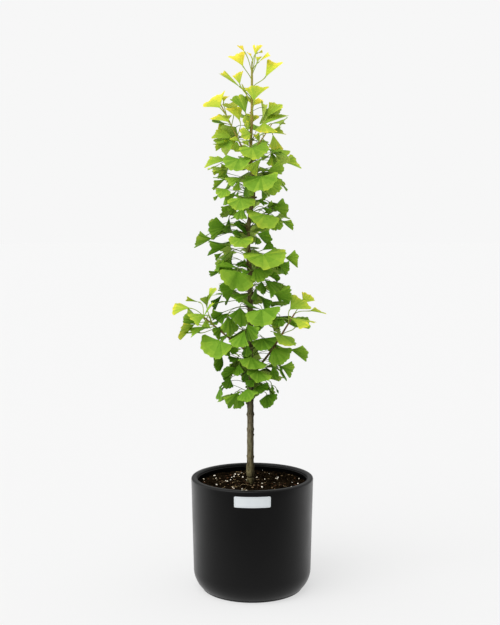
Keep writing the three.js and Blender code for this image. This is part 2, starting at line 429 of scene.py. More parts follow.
@dataclass(frozen=True)
class BarkFinish(Finish):
    """Young bark: grey-olive low down, a darker brown through the leaves, tan-green on this year's growth.

    The darkening through the leaves and in the furrows is partly painted shade. The bare stem's right
    side is darkened by painted shade, from one place across it to another, and a near-black ragged ring
    lies in the groove just above the soil. Lengths are in millimetres, and a pattern's scale is how
    often it repeats in a metre. The colours up the stem are given by share of its height, and a shade
    is what a colour is multiplied by.
    """

    foot: float = 224.0
    tip: float = 1118.0
    # Colours up the stem by share of its height. The darker stops from 0.2 to 0.7, among the leaves, are
    # partly painted shade.
    ages: tuple[tuple[float, Colour], ...] = (
        (0.0, (0.055, 0.045, 0.014)),
        (0.03, (0.17, 0.145, 0.07)),
        (0.07, (0.165, 0.138, 0.073)),
        (0.14, (0.18, 0.152, 0.095)),
        (0.2, (0.1, 0.086, 0.047)),
        (0.32, (0.105, 0.086, 0.038)),
        (0.7, (0.13, 0.104, 0.032)),
        (0.82, (0.24, 0.195, 0.04)),
        (0.9, (0.42, 0.34, 0.075)),
        (1.0, (0.34, 0.34, 0.06)),
    )
    grain_scale: float = 480.0
    grain_length: float = 0.12
    furrow: float = 0.25
    # Partly painted shade: the colour in the furrows is multiplied by this.
    furrow_painted_darkening: Colour = (0.22, 0.2, 0.19)
    lichen_scale: float = 95.0
    lichen: Colour = (0.17, 0.175, 0.09)
    fleck_scale: float = 190.0
    fleck_length: float = 2.2
    fleck: Colour = (0.27, 0.23, 0.15)
    # Painted shade: the bare stem's right side is darkened, from one place across it to another, up to a
    # height.
    painted_side_shade: float = 0.85
    painted_shade_across: Pair = (-3.5, 1.5)
    painted_shade_top: Pair = (430.0, 520.0)
    painted_shade_tint: Colour = (0.18, 0.17, 0.14)
    # A near-black ragged ring in the groove where the trunk pinches just above the soil.
    dark_ring_height: float = 241.0
    dark_ring_edge: Pair = (0.6, 1.8)
    dark_ring_colour: Colour = (0.012, 0.01, 0.007)

    def dress(self, wires: Wiring, shader: Node, place: Socket) -> None:
        """Adds the colour's change with height, partly painted shade, the grain, the flecks and the
        furrows.
        """
        across, _, height = wires.add("ShaderNodeSeparateXYZ", {0: place}).outputs
        stretched = wires.vectors("MULTIPLY", place, (1.0, 1.0, self.grain_length))
        grain = wires.noise(stretched, self.grain_scale, 5.0, 1.0)
        skin = self.skin(wires, place, height, grain)
        wires.link(self.painted_shade_and_ring(wires, skin, across, height, grain), shader, "Base Color")
        wires.link(wires.remap(grain, 0.3, 0.7, 0.9, 0.62), shader, "Roughness")
        self.add_relief(wires, shader, grain, self.furrow)

    def skin(self, wires: Wiring, place: Socket, height: Socket, grain: Socket) -> Socket:
        """Returns the bark's colour at its age, with its furrows (partly painted shade), lichen and flecks.

        Args:
            wires: the material's wiring.
            place: the place on the object.
            height: the height, in metres.
            grain: the noise of the grain.

        Returns:
            The colour.
        """
        rise = wires.remap(height, self.foot * MM, self.tip * MM, 0.0, 1.0)
        skin = wires.ramp(rise, self.ages)
        aged = wires.remap(rise, 0.6, 0.9, 1.0, 0.3)
        # The furrows are darkened, partly the bark's own colour and partly painted shade in the relief's
        # hollows.
        in_furrow_share = wires.numbers("MULTIPLY", wires.remap(grain, 0.36, 0.52, 1.0, 0.0), aged)
        furrow_darkened = wires.mix(in_furrow_share, skin, wires.vectors("MULTIPLY", skin, self.furrow_painted_darkening))
        patches = wires.noise(place, self.lichen_scale, 3.0, 5.0)
        covered = wires.numbers("MULTIPLY", wires.remap(patches, 0.54, 0.7, 0.0, 0.55), aged)
        squat = wires.vectors("MULTIPLY", place, (1.0, 1.0, self.fleck_length))
        spots = wires.add("ShaderNodeTexVoronoi", {"Vector": squat, "Scale": self.fleck_scale})
        flecked = wires.remap(spots.outputs["Distance"], 0.1, 0.2, 0.6, 0.0)
        return wires.mix(flecked, wires.mix(covered, furrow_darkened, self.lichen), self.fleck)

    def painted_shade_and_ring(
        self, wires: Wiring, skin: Socket, across: Socket, height: Socket, grain: Socket
    ) -> Socket:
        """Returns the bark's colour with painted shade on its right side and a near-black ragged ring.

        Args:
            wires: the material's wiring.
            skin: the colour of the sound bark.
            across: the place across, in metres.
            height: the height, in metres.
            grain: the noise of the grain.

        Returns:
            The colour.
        """
        # Painted shade: the right side of the bare stem below the leaves is darkened.
        low = wires.remap(height, self.painted_shade_top[0] * MM, self.painted_shade_top[1] * MM, self.painted_side_shade, 0.0)
        side = wires.remap(across, self.painted_shade_across[0] * MM, self.painted_shade_across[1] * MM, 0.0, 1.0)
        painted_side_shade = wires.vectors("MULTIPLY", skin, self.painted_shade_tint)
        side_shaded = wires.mix(wires.numbers("MULTIPLY", side, low), skin, painted_side_shade)
        # A near-black ragged ring in the groove just above the soil.
        gap = wires.numbers("ABSOLUTE", wires.numbers("SUBTRACT", height, self.dark_ring_height * MM))
        ragged = wires.numbers("ADD", gap, wires.remap(grain, 0.3, 0.7, -0.8 * MM, 1.2 * MM))
        ring_share = wires.remap(ragged, self.dark_ring_edge[0] * MM, self.dark_ring_edge[1] * MM, 0.85, 0.0)
        return wires.mix(ring_share, side_shaded, self.dark_ring_colour)


@dataclass(frozen=True)
class SoilFinish(Finish):
    """Moist dark potting mix that dries paler in patches."""

    dry: Colour = (0.02, 0.013, 0.006)
    patch_scale: float = 60.0
    crumb_scale: float = 420.0
    crumb: float = 1.2

    def dress(self, wires: Wiring, shader: Node, place: Socket) -> None:
        """Adds the dry patches and the crumbs."""
        patches = wires.noise(place, self.patch_scale, 5.0, 2.0)
        crumbs = wires.noise(place, self.crumb_scale, 4.0, 7.0)
        dryness = wires.numbers("MULTIPLY", wires.remap(patches, 0.42, 0.66, 0.0, 1.0), crumbs)
        colour = wires.mix(dryness, self.colour, self.dry)
        wires.link(colour, shader, "Base Color")
        self.add_relief(wires, shader, crumbs, self.crumb)


@dataclass(frozen=True)
class GrainFinish(Finish):
    """A small solid thing with a mottled surface, such as a chip of bark or a grain of perlite."""

    second: Colour = (0.2, 0.2, 0.2)
    mottle_scale: float = 300.0
    tooth: float = 0.3

    def dress(self, wires: Wiring, shader: Node, place: Socket) -> None:
        """Adds the mottling and a fine roughness."""
        spots = wires.noise(place, self.mottle_scale, 3.0, 4.0)
        share = wires.remap(spots, 0.38, 0.62, 0.0, 1.0)
        colour = wires.mix(share, self.colour, self.second)
        wires.link(colour, shader, "Base Color")
        self.add_relief(wires, shader, spots, self.tooth)


@dataclass(frozen=True)
class PlateFinish(Finish):
    """A blank white plate, satin, a little warmer and duller in soft clouds."""

    shade: Colour = (0.61, 0.655, 0.68)
    cloud_scale: float = 70.0
    tooth_scale: float = 2600.0
    tooth: float = 0.02

    def dress(self, wires: Wiring, shader: Node, place: Socket) -> None:
        """Adds the clouds and a fine tooth."""
        clouds = wires.noise(place, self.cloud_scale, 3.0, 6.0)
        colour = wires.mix(wires.remap(clouds, 0.4, 0.7, 0.0, 0.5), self.colour, self.shade)
        wires.link(colour, shader, "Base Color")
        wires.link(wires.remap(clouds, 0.3, 0.7, 0.3, 0.42), shader, "Roughness")
        self.add_relief(wires, shader, wires.noise(place, self.tooth_scale, 2.0, 1.0), self.tooth)


@dataclass(frozen=True)
class PaperFinish(Finish):
    """The studio's floor paper, lit from below a little so that shadows on it stay pale."""

    glow: float = 0.5
    mirrored_glow: float = 0.9
    mirrored: Pair = (-600.0, 200.0)

    def dress(self, wires: Wiring, shader: Node, place: Socket) -> None:
        """Adds the light from below, which shiny things mirror less and less towards the front."""
        is_mirrored = wires.add("ShaderNodeLightPath").outputs["Is Glossy Ray"]
        depth = wires.add("ShaderNodeSeparateXYZ", {0: place}).outputs["Y"]
        mirrored = wires.remap(depth, self.mirrored[0] * MM, self.mirrored[1] * MM, 0.0, self.mirrored_glow)
        shader.inputs["Emission Color"].default_value = opaque(WHITE)
        wires.link(wires.between(is_mirrored, self.glow, mirrored), shader, "Emission Strength")


POT_FINISH = PotFinish("black stoneware", (0.0012, 0.0012, 0.0013), 0.335, 0.21)
BARK_FINISH = BarkFinish("young bark", (0.15, 0.12, 0.08), 0.8, 0.08)
BOUGH_FINISH = BarkFinish(
    "bough bark",
    (0.2, 0.12, 0.05),
    0.7,
    0.12,
    ages=(
        (0.28, (0.12, 0.085, 0.028)),
        (0.34, (0.2, 0.125, 0.045)),
        (0.42, (0.3, 0.17, 0.06)),
        (0.75, (0.24, 0.17, 0.045)),
        (0.9, (0.42, 0.34, 0.075)),
    ),
)
SOIL_FINISH = SoilFinish("potting mix", (0.0018, 0.0012, 0.0006), 0.95, 0.0)
LABEL_FINISH = PlateFinish("label plate", (0.66, 0.695, 0.71), 0.35, 0.35)
LINE_FINISH = GrainFinish("label line", (0.36, 0.4, 0.43), 0.5, 0.3, (0.45, 0.48, 0.5))
CRUMB_FINISH = GrainFinish("dark crumb", (0.0022, 0.0015, 0.0008), 0.95, 0.0, (0.026, 0.0175, 0.0095))
CHIP_FINISH = GrainFinish("bark chip", (0.08, 0.05, 0.025), 0.8, 0.1, (0.24, 0.165, 0.09))
RUST_FINISH = GrainFinish("rusty chip", (0.075, 0.028, 0.01), 0.85, 0.1, (0.03, 0.014, 0.006))
PERLITE_FINISH = GrainFinish("perlite", (1.0, 0.96, 0.86), 0.8, 0.3, (0.9, 0.8, 0.62))
STRAW_FINISH = GrainFinish("straw", (0.5, 0.37, 0.19), 0.6, 0.3, (0.3, 0.2, 0.09))
PETIOLE_FINISH = Finish("leaf stalk", (0.15, 0.22, 0.035), 0.5, 0.2)
YOUNG_PETIOLE_FINISH = Finish("young leaf stalk", (0.36, 0.46, 0.06), 0.5, 0.2)


class LeafTints:
    """Plain tints for the leaves, in even steps from deep green to yellow.

    Undersides are paler, partly in their own colour and partly as painted light shining through them,
    and the more so the nearer the tint is to yellow.
    """

    steps: int = 18
    roughness: dict[str, float] = {"upper": 0.55, "under": 0.7}
    specular: float = 0.06
    # Partly painted light: undersides are mixed towards this paler colour, as if light shone through them.
    pale_underside_with_painted_light: Colour = (0.6, 0.74, 0.16)
    paler_places: Pair = (0.2, 0.7)
    paler_shares: Pair = (0.1, 0.6)
    keys: tuple[tuple[float, Colour], ...] = (
        (0.0, (0.03, 0.085, 0.003)),
        (0.2, (0.062, 0.165, 0.007)),
        (0.4, (0.117, 0.258, 0.015)),
        (0.55, (0.196, 0.362, 0.028)),
        (0.7, (0.308, 0.468, 0.04)),
        (0.82, (0.49, 0.58, 0.048)),
        (0.92, (0.8, 0.72, 0.055)),
        (1.0, (1.0, 0.82, 0.09)),
    )

    def __init__(self) -> None:
        """Makes the materials, first the upper sides and then the undersides."""
        places, colours = zip(*self.keys)
        shares = np.linspace(0, 1, self.steps)
        upper = np.stack([np.interp(shares, places, column) for column in zip(*colours)], axis=1)
        paler = np.interp(shares, self.paler_places, self.paler_shares)[:, None]
        rows = {"upper": upper, "under": upper + (np.array(self.pale_underside_with_painted_light) - upper) * paler}
        self.materials = []
        for side, row in rows.items():
            for step, colour in enumerate(row.tolist(), start=1):
                name = f"leaf {side} {step:02d}"
                finish = Finish(name, tuple(colour), self.roughness[side], self.specular)
                self.materials.append(finish.material())

    def assign(self, mesh: Mesh, steps: Array, is_under: Array) -> None:
        """Gives each face its tint, with only the tints that the mesh uses.

        Args:
            mesh: the mesh of leaves.
            steps: each face's place in the row of tints, as a float.
            is_under: whether each face is on an underside.
        """
        tint = np.clip(np.rint(steps), 0, self.steps - 1).astype(int) + is_under * self.steps
        used, slots = np.unique(tint, return_inverse=True)
        for index in used:
            mesh.materials.append(self.materials[index])
        mesh.polygons.foreach_set("material_index", slots.astype(np.int32).ravel())


# ---------------------------------------------------------------- geometry-node tools


class NodeTool:
    """A geometry-node tree that makes one plain mesh out of another, and sets its material."""

    def __init__(self, name: str, inputs: dict[str, str]) -> None:
        """Builds the tree once.

        Args:
            name: the tree's name.
            inputs: the socket type of each of its inputs but the geometry and the material, by name.
        """
        self.tree = bpy.data.node_groups.new(name, "GeometryNodeTree")
        for label, kind in {"Geometry": "Geometry", **inputs, "Material": "Material"}.items():
            self.tree.interface.new_socket(label, in_out="INPUT", socket_type=f"NodeSocket{kind}")
        self.tree.interface.new_socket("Geometry", in_out="OUTPUT", socket_type="NodeSocketGeometry")
        wires = Wiring(self.tree)
        given = wires.add("NodeGroupInput").outputs
        real = wires.add("GeometryNodeRealizeInstances", {0: self.shape(wires, given)}).outputs[0]
        dressed = wires.add("GeometryNodeSetMaterial", {"Geometry": real, "Material": given["Material"]})
        wires.add("NodeGroupOutput", {0: dressed.outputs[0]})

    def shape(self, wires: Wiring, given: bpy.types.bpy_prop_collection) -> Socket:
        """Wires a tool's own nodes, from the group's inputs to a geometry.

        Args:
            wires: the tree's wiring.
            given: the outputs of the group's inputs.

        Returns:
            The geometry.
        """
        raise NotImplementedError

    def run(self, name: str, start: Mesh, material: Material, values: dict[str, float]) -> Mesh:
        """Runs the tree on a mesh.

        Args:
            name: the new mesh's name.
            start: the mesh that goes in.
            material: the new mesh's material.
            values: the tree's other inputs, with underscores for spaces.

        Returns:
            The new mesh.
        """
        source = bpy.data.objects.new(f"{name} source", start)
        bpy.context.scene.collection.objects.link(source)
        modifier = source.modifiers.new(self.tree.name, "NODES")
        modifier.node_group = self.tree
        settings = {key.replace("_", " ").title(): value for key, value in values.items()}
        settings["Material"] = material
        for item in self.tree.interface.items_tree:
            if item.in_out == "INPUT" and item.name in settings:
                modifier[item.identifier] = settings[item.name]
        depsgraph = bpy.context.evaluated_depsgraph_get()
        mesh = bpy.data.meshes.new_from_object(source.evaluated_get(depsgraph))
        source.modifiers.remove(modifier)
        bpy.data.objects.remove(source)
        mesh.name = name
        return mesh


class StemTool(NodeTool):
    """Turns guide lines into stems with a sweep and a fine relief."""

    def __init__(self) -> None:
        """Builds the tree."""
        floats = dict.fromkeys(("Relief", "Relief Size", "Stretch", "Seed"), "Float")
        super().__init__("stem sweep", {"Sides": "Int", **floats})

    def shape(self, wires: Wiring, given: bpy.types.bpy_prop_collection) -> Socket:
        """Sweeps a ring along each line, and moves its points in and out by a noise."""
        named = wires.add("GeometryNodeInputNamedAttribute", {"Name": "thickness"}, data_type="FLOAT")
        thickness = named.outputs["Attribute"]
        line = wires.add("GeometryNodeMeshToCurve", {0: given["Geometry"]}).outputs[0]
        ring = wires.add("GeometryNodeCurvePrimitiveCircle", {"Resolution": given["Sides"], "Radius": 1.0})
        sweep = {"Curve": line, "Profile Curve": ring.outputs[0], "Fill Caps": True, "Scale": thickness}
        swept = wires.add("GeometryNodeCurveToMesh", sweep).outputs[0]
        across = wires.numbers("DIVIDE", 1.0, given["Relief Size"])
        upward = wires.numbers("DIVIDE", across, given["Stretch"])
        scale = wires.add("ShaderNodeCombineXYZ", {0: across, 1: across, 2: upward}).outputs[0]
        place = wires.vectors("MULTIPLY", wires.add("GeometryNodeInputPosition").outputs[0], scale)
        wave = wires.numbers("SUBTRACT", wires.noise(place, 1.0, 3.0, given["Seed"]), 0.5)
        depth = wires.numbers("MULTIPLY", given["Relief"], thickness)
        normal = wires.add("GeometryNodeInputNormal").outputs[0]
        offset = wires.scaled(normal, wires.numbers("MULTIPLY", wave, depth))
        rough = wires.add("GeometryNodeSetPosition", {"Geometry": swept, "Offset": offset}).outputs[0]
        return wires.add("GeometryNodeSetShadeSmooth", {0: rough}).outputs[0]

    def make(self, name: str, stems: list[Stem], material: Material, **values: float) -> Mesh:
        """Makes one mesh of many stems.

        Args:
            name: the mesh's name.
            stems: the stems.
            material: their material.
            values: the tree's other inputs, with underscores for spaces.

        Returns:
            The mesh.
        """
        starts = np.cumsum([0] + [len(stem.points) for stem in stems])
        edges = [(i, i + 1) for low, high in zip(starts, starts[1:]) for i in range(low, high - 1)]
        guide = bpy.data.meshes.new(f"{name} guide")
        guide.from_pydata(np.vstack([stem.points for stem in stems]).tolist(), edges, [])
        radii = np.concatenate([stem.radii for stem in stems])
        guide.attributes.new("thickness", "FLOAT", "POINT").data.foreach_set("value", radii)
        mesh = self.run(name, guide, material, values)
        for attribute in [a for a in mesh.attributes if a.name == "thickness"]:
            mesh.attributes.remove(attribute)
        return mesh


class GritTool(NodeTool):
    """Scatters small uneven grains over a surface."""

    relief_scale: float = 700.0

    def __init__(self) -> None:
        """Builds the tree."""
        labels = ("Density", "Smallest", "Largest", "Flatness", "Length", "Raggedness")
        super().__init__("grit scatter", {**dict.fromkeys(labels, "Float"), "Seed": "Int"})

    def shape(self, wires: Wiring, given: bpy.types.bpy_prop_collection) -> Socket:
        """Puts a grain at each of many places, turned and sized by chance, and makes it ragged."""
        bed = {"Mesh": given["Geometry"], "Density": given["Density"], "Seed": given["Seed"]}
        spread = wires.add("GeometryNodeDistributePointsOnFaces", bed).outputs["Points"]
        grain = wires.add("GeometryNodeMeshIcoSphere", {"Radius": 0.5, "Subdivisions": 1}).outputs[0]
        sides = {0: given["Length"], 1: 1.0, 2: given["Flatness"]}
        stretch = wires.add("ShaderNodeCombineXYZ", sides).outputs[0]
        shaped = wires.add("GeometryNodeTransform", {"Geometry": grain, "Scale": stretch}).outputs[0]
        size = wires.add("FunctionNodeRandomValue", {"Seed": given["Seed"]}, data_type="FLOAT")
        wires.link(given["Smallest"], size, "Min_001")
        wires.link(given["Largest"], size, "Max_001")
        other_seed = wires.numbers("ADD", given["Seed"], 7.0)
        tumble = wires.add("FunctionNodeRandomValue", {"Seed": other_seed}, data_type="FLOAT_VECTOR")
        tumble.inputs["Min"].default_value = (-0.5, -0.5, 0.0)
        tumble.inputs["Max"].default_value = (0.5, 0.5, math.tau)
        turn, scale = (next(o for o in node.outputs if o.enabled) for node in (tumble, size))
        grains = {"Points": spread, "Instance": shaped, "Rotation": turn, "Scale": scale}
        placed = wires.add("GeometryNodeInstanceOnPoints", grains).outputs[0]
        real = wires.add("GeometryNodeRealizeInstances", {0: placed}).outputs[0]
        place = wires.add("GeometryNodeInputPosition").outputs[0]
        wave = wires.add("ShaderNodeTexNoise", {"Vector": place, "Scale": self.relief_scale, "Detail": 1.0})
        drift = wires.vectors("SUBTRACT", wave.outputs["Color"], (0.5, 0.5, 0.5))
        offset = wires.scaled(drift, given["Raggedness"])
        return wires.add("GeometryNodeSetPosition", {"Geometry": real, "Offset": offset}).outputs[0]


# ---------------------------------------------------------------- the camera's view


@dataclass(frozen=True)
class Sight:
    """Where the tree is looked at from, and how places seen from there turn into places in space."""

    eye: Triple = (-0.0048, -2.118, 0.7565)
    pitch: float = 4.42
    focal_length: float = 57.6
    sensor: float = 36.0

    def camera(self) -> None:
        """Makes the camera."""
        data = bpy.data.cameras.new("camera")
        data.lens = self.focal_length
        data.sensor_width = self.sensor
        data.clip_end = 200.0
        camera = bpy.data.objects.new("camera", data)
        camera.location = self.eye
        camera.rotation_euler = (math.radians(90 - self.pitch), 0.0, 0.0)
        bpy.context.scene.collection.objects.link(camera)
        bpy.context.scene.camera = camera

    def scale(self, depth: float) -> float:
        """Returns how much smaller a thing is at a depth, in metres, to look as on the plane y = 0."""
        return (depth - self.eye[1]) / -self.eye[1]

    def place(self, across: float, height: float, depth: float) -> Array:
        """Returns the place at a depth that is seen at a place on the plane y = 0, all in metres."""
        eye = np.array(self.eye)
        return eye + (np.array([across, 0.0, height]) - eye) * self.scale(depth)

    def on_plane(self, points: Array) -> Array:
        """Returns where points are seen on the plane y = 0, as rows of x and z.

        Args:
            points: the places in metres, one row each.

        Returns:
            One row for each place, in metres.
        """
        eye = np.array(self.eye)
        scale = -eye[1] / (points[:, 1] - eye[1])
        return (eye + (points - eye) * scale[:, None])[:, [0, 2]]


# ---------------------------------------------------------------- leaves


@dataclass(frozen=True)
class Lead:
    """A leaf that stands out, told as it is seen from the front on the plane y = 0, in millimetres.

    x and z are the foot of its blade and y is that foot's depth. middle, left and right lead across
    and up from the foot to the middle of the margin and to its corners. The blade's real length and
    its turn in space follow from these and its shape, with its upper side turned up.
    """

    x: float
    z: float
    y: float
    middle: Pair
    left: Pair
    right: Pair
    shape: Shape
    notch: float = 0.0
    shows_back: bool = False


@dataclass(frozen=True)
class Leaf:
    """One leaf's blade in space, in metres and radians.

    spread is the angle from the axis to each corner, and corner is each one's reach as a share of
    the length, first on the far side of the axis and then on the side that its left hand points to.
    """

    foot: Array
    axis: Array
    normal: Array
    length: float
    spread: Pair
    corner: Pair
    tint: float
    notch: float
    droop: float
    cup: float
    seed: int

    @property
    def middle(self) -> Array:
        """A place in the middle of the blade."""
        return self.foot + 0.6 * self.length * self.axis


def chance_wave(rng: Chance, turn: Array, turns: Pair) -> Array:
    """Returns a sine wave round a blade, with its pace drawn from a range and its start by chance."""
    return np.sin(turn * rng.uniform(*turns) + rng.uniform(0, 6))


@dataclass(frozen=True)
class BladeGrid:
    """The grid that each blade is shaped on: a thin closed fan with an upper and an under side.

    Its waves, nicks and folds are shares of its length, and its thickness and its ribs millimetres.
    The flare and the round corners follow from the opening, in degrees from the axis to a corner.
    The tints are steps by which a row, a sector or a side differs, and yellow leaves are more even.
    """

    columns: int = 42
    rows: Row = (0.03, 0.2, 0.42, 0.64, 0.83, 0.945, 1.0)
    row_tints: Row = (-2.0, -1.2, -0.75, -0.3, 0.6, 1.5)
    thickness: float = 0.4
    rib: float = 0.07
    opening: Row = (34.0, 52.0, 72.0, 97.0)
    flare: Row = (0.7, 0.84, 0.95, 0.9)
    corner_start: Row = (0.9, 0.86, 0.78, 0.68)
    corner_drop: Row = (0.06, 0.08, 0.13, 0.18)
    lobe: float = 0.034
    lobe_turns: Pair = (5.0, 8.0)
    scallop: float = 0.026
    scallop_turns: Pair = (13.0, 19.0)
    nicks: int = 9
    nick_depth: float = 0.06
    nick_shares: Pair = (0.3, 1.0)
    notch_places: Pair = (-0.1, 0.1)
    notch_width: float = 0.085
    ripple: Pair = (0.05, 0.12)
    ripple_turns: Pair = (2.4, 4.4)
    pleat: Pair = (0.016, 0.032)
    pleat_turns: Pair = (8.0, 11.0)
    fold: float = 0.05
    sector_tint: float = 1.2
    slope_tint: float = 0.8
    evenness: float = 0.85

    def margin(self, leaf: Leaf, rng: Chance, across: Array, turn: Array) -> Array:
        """Returns how far a blade reaches round its fan, as a share of its length.

        Args:
            leaf: the leaf.
            rng: the source of chance.
            across: the columns' places, from -1 to 1.
            turn: their angles from the axis.

        Returns:
            A share for each column.
        """
        reach = 1 + (np.where(across < 0, *leaf.corner) - 1) * across**2
        reach = reach + self.lobe * chance_wave(rng, turn, self.lobe_turns)
        reach = reach + self.scallop * chance_wave(rng, turn, self.scallop_turns)
        nicked = rng.choice(np.arange(3, self.columns - 2), self.nicks, replace=False)
        reach[0, nicked] -= rng.uniform(*self.nick_shares, self.nicks) * self.nick_depth
        gap = (turn - rng.uniform(*self.notch_places)) / self.notch_width
        reach = reach - leaf.notch * np.exp(-(gap**2))
        opening = math.degrees(sum(leaf.spread) / 2)
        start = np.interp(opening, self.opening, self.corner_start)
        drop = np.interp(opening, self.opening, self.corner_drop)
        corner = np.clip((np.abs(across) - start) / (1 - start), 0, 1)
        return reach - drop * (1 - np.sqrt(1 - corner**2))

    def drooped(self, leaf: Leaf, x: Array, z: Array) -> tuple[Array, Array]:
        """Returns places along and above a blade, once it arches down evenly past its foot.

        Args:
            leaf: the leaf.
            x: the places along the flat blade.
            z: their heights above it.

        Returns:
            The places along and above.
        """
        bend = max(leaf.droop, 1e-3) / leaf.length
        turn = bend * np.maximum(x, 0)
        ahead = np.where(x > 0, np.sin(turn) / bend + z * np.sin(turn), x)
        above = z * np.cos(turn) - (1 - np.cos(turn)) / bend
        cos, sin = math.cos(leaf.droop / 2), math.sin(leaf.droop / 2)
        return ahead * cos - above * sin, ahead * sin + above * cos

    def points(self, leaf: Leaf) -> Array:
        """Returns the points of a leaf's blade in space, the upper side and then the under side.

        Args:
            leaf: the leaf.

        Returns:
            The points in metres, one row each.
        """
        rng = np.random.default_rng(leaf.seed)
        across = np.linspace(-1, 1, self.columns + 1)[None, :]
        along = np.array(self.rows)[:, None]
        turn = np.where(across < 0, *leaf.spread) * across
        flare = np.interp(math.degrees(sum(leaf.spread) / 2), self.opening, self.flare)
        angle = turn * (flare + (1 - flare) * np.sqrt(along))
        margin = self.margin(leaf, rng, across, turn)
        reach = leaf.length * along * (1 + (margin - 1) * along**2.5)
        x, y = reach * np.cos(angle), reach * np.sin(angle)
        ripple = rng.uniform(*self.ripple) * chance_wave(rng, turn, self.ripple_turns)
        pleat = rng.uniform(*self.pleat) * chance_wave(rng, turn, self.pleat_turns)
        fold = rng.uniform(-self.fold, self.fold) * across + pleat
        lift = leaf.cup * across**2 * along**1.5 + (ripple + fold) * along**2
        rib = self.rib * MM * (np.arange(self.columns + 1) % 2) * along**0.5
        x, z = self.drooped(leaf, x, leaf.length * lift + rib)
        thin = self.thickness * MM * (1 - 0.5 * along)
        sides = [np.stack([x, y, height], axis=-1).reshape(-1, 3) for height in (z, z - thin)]
        side = np.cross(leaf.normal, leaf.axis)
        return leaf.foot + np.vstack(sides) @ np.stack([leaf.axis, side, leaf.normal])

    def filled(self, leaf: Leaf) -> Array:
        """Returns places spread closely over a leaf's upper side."""
        upper = self.points(leaf)[: len(self.rows) * (self.columns + 1)].reshape(len(self.rows), -1, 3)
        return np.concatenate([upper, (upper[1:] + upper[:-1]) / 2]).reshape(-1, 3)

    def tints(self, leaf: Leaf, steps: int) -> tuple[Array, Array]:
        """Returns each face's place in the row of tints, and whether it is on the under side.

        Args:
            leaf: the leaf.
            steps: how many tints there are.

        Returns:
            Both, with one value for each face.
        """
        rng = np.random.default_rng(leaf.seed + 1)
        contrast = 1 - self.evenness * leaf.tint**2
        sectors = np.repeat(rng.normal(0, self.sector_tint, self.columns // 3), 3) * contrast
        slope = rng.normal(0, self.slope_tint) * np.linspace(-1, 1, self.columns) * contrast
        face = leaf.tint * (steps - 1) + np.array(self.row_tints)[:, None] + (sectors + slope)[None, :]
        rim = np.concatenate([face[-1], face[0], face[:, 0], face[:, -1]])
        values = np.concatenate([face.ravel(), face.ravel(), rim])
        is_under = np.zeros(len(values), bool)
        is_under[face.size : 2 * face.size] = True
        return values, is_under


GRID = BladeGrid()


class FrontView:
    """What the leaves cover as seen from the front, in square cells on the plane y = 0, in millimetres."""

    cell: float = 5.0
    left_edge: float = -220.0
    low_edge: float = 340.0
    shape: tuple[int, int] = (180, 88)
    trunk_half: float = 6.0
    trunk_front: float = -8.0
    trunk_worth: float = 4.0

    def __init__(self, sight: Sight, trunk: Stem) -> None:
        """Starts with nothing covered, and notes where the trunk stands.

        Args:
            sight: where the tree is looked at from.
            trunk: the trunk's axis.
        """
        self.sight = sight
        self.sky = np.array(SKY, float)
        self.covered = np.zeros(self.shape, bool)
        self.reach = np.zeros((self.shape[0], 2), int)
        heights = self.low_edge + (np.arange(self.shape[0]) + 0.5) * self.cell
        seen = sight.on_plane(trunk.points) / MM
        self.trunk = np.interp(heights, seen[:, 1], seen[:, 0])
        shows = [(low < heights) & (heights < high) for low, high in TRUNK_SHOWS]
        self.trunk_value = np.where(np.any(shows, axis=0), -self.trunk_worth, self.trunk_worth)

    def cells(self, seen: Array) -> tuple[Array, Array]:
        """Returns the rows and columns of the cells that places on the plane are in.

        Args:
            seen: the places on the plane, as rows of x and z.

        Returns:
            Both, with one number for each place.
        """
        corner = (self.left_edge, self.low_edge)
        columns, rows = ((seen - corner) / self.cell).astype(int).T
        return np.clip(rows, 0, self.shape[0] - 1), np.clip(columns, 0, self.shape[1] - 1)

    def hidden_trunk(self, points: Array, seen: Array, rows: Array) -> Array:
        """Returns the rows of cells in which points that are seen at some places hide the trunk.

        Args:
            points: the points in metres.
            seen: where they are seen on the plane.
            rows: the rows of the cells that they are in.

        Returns:
            Whether each row is hidden.
        """
        before = points[:, 1] < self.trunk_front * MM
        hidden = np.zeros(self.shape[0], bool)
        hidden[rows[before & (np.abs(seen[:, 0] - self.trunk[rows]) < self.trunk_half)]] = True
        return hidden

    def mark(self, points: Array) -> None:
        """Marks what a leaf's points cover.

        Args:
            points: places on the leaf, in metres.
        """
        seen = self.sight.on_plane(points) / MM
        rows, columns = self.cells(seen)
        self.covered[rows, columns] = True
        self.trunk_value[self.hidden_trunk(points, seen, rows)] = 0

    def keep_outline(self) -> None:
        """Keeps how far the leaves reach to each side at each height, with a little smoothing."""
        wide = self.covered.copy()
        wide[1:] |= self.covered[:-1]
        wide[:-1] |= self.covered[1:]
        self.reach[:, 0] = np.where(wide.any(axis=1), wide.argmax(axis=1), self.shape[1])
        self.reach[:, 1] = np.where(wide.any(axis=1), self.shape[1] - 1 - wide[:, ::-1].argmax(axis=1), 0)

    def gain(self, points: Array) -> float:
        """Returns how much more a leaf would cover, or -1 where it would leave the outline or hide sky.

        Args:
            points: places on the leaf, in metres.

        Returns:
            The gain in cells.
        """
        seen = self.sight.on_plane(points) / MM
        rows, columns = self.cells(seen)
        gaps = np.linalg.norm(seen[:, None, :] - self.sky[:, :2], axis=2) < self.sky[:, 2]
        outside = (columns < self.reach[rows, 0]) | (columns > self.reach[rows, 1])
        if gaps.any() or outside.any():
            return -1
        fresh = np.zeros(self.shape, bool)
        fresh[rows, columns] = True
        hidden = self.hidden_trunk(points, seen, rows)
        return float((fresh & ~self.covered).sum() + self.trunk_value[hidden].sum())


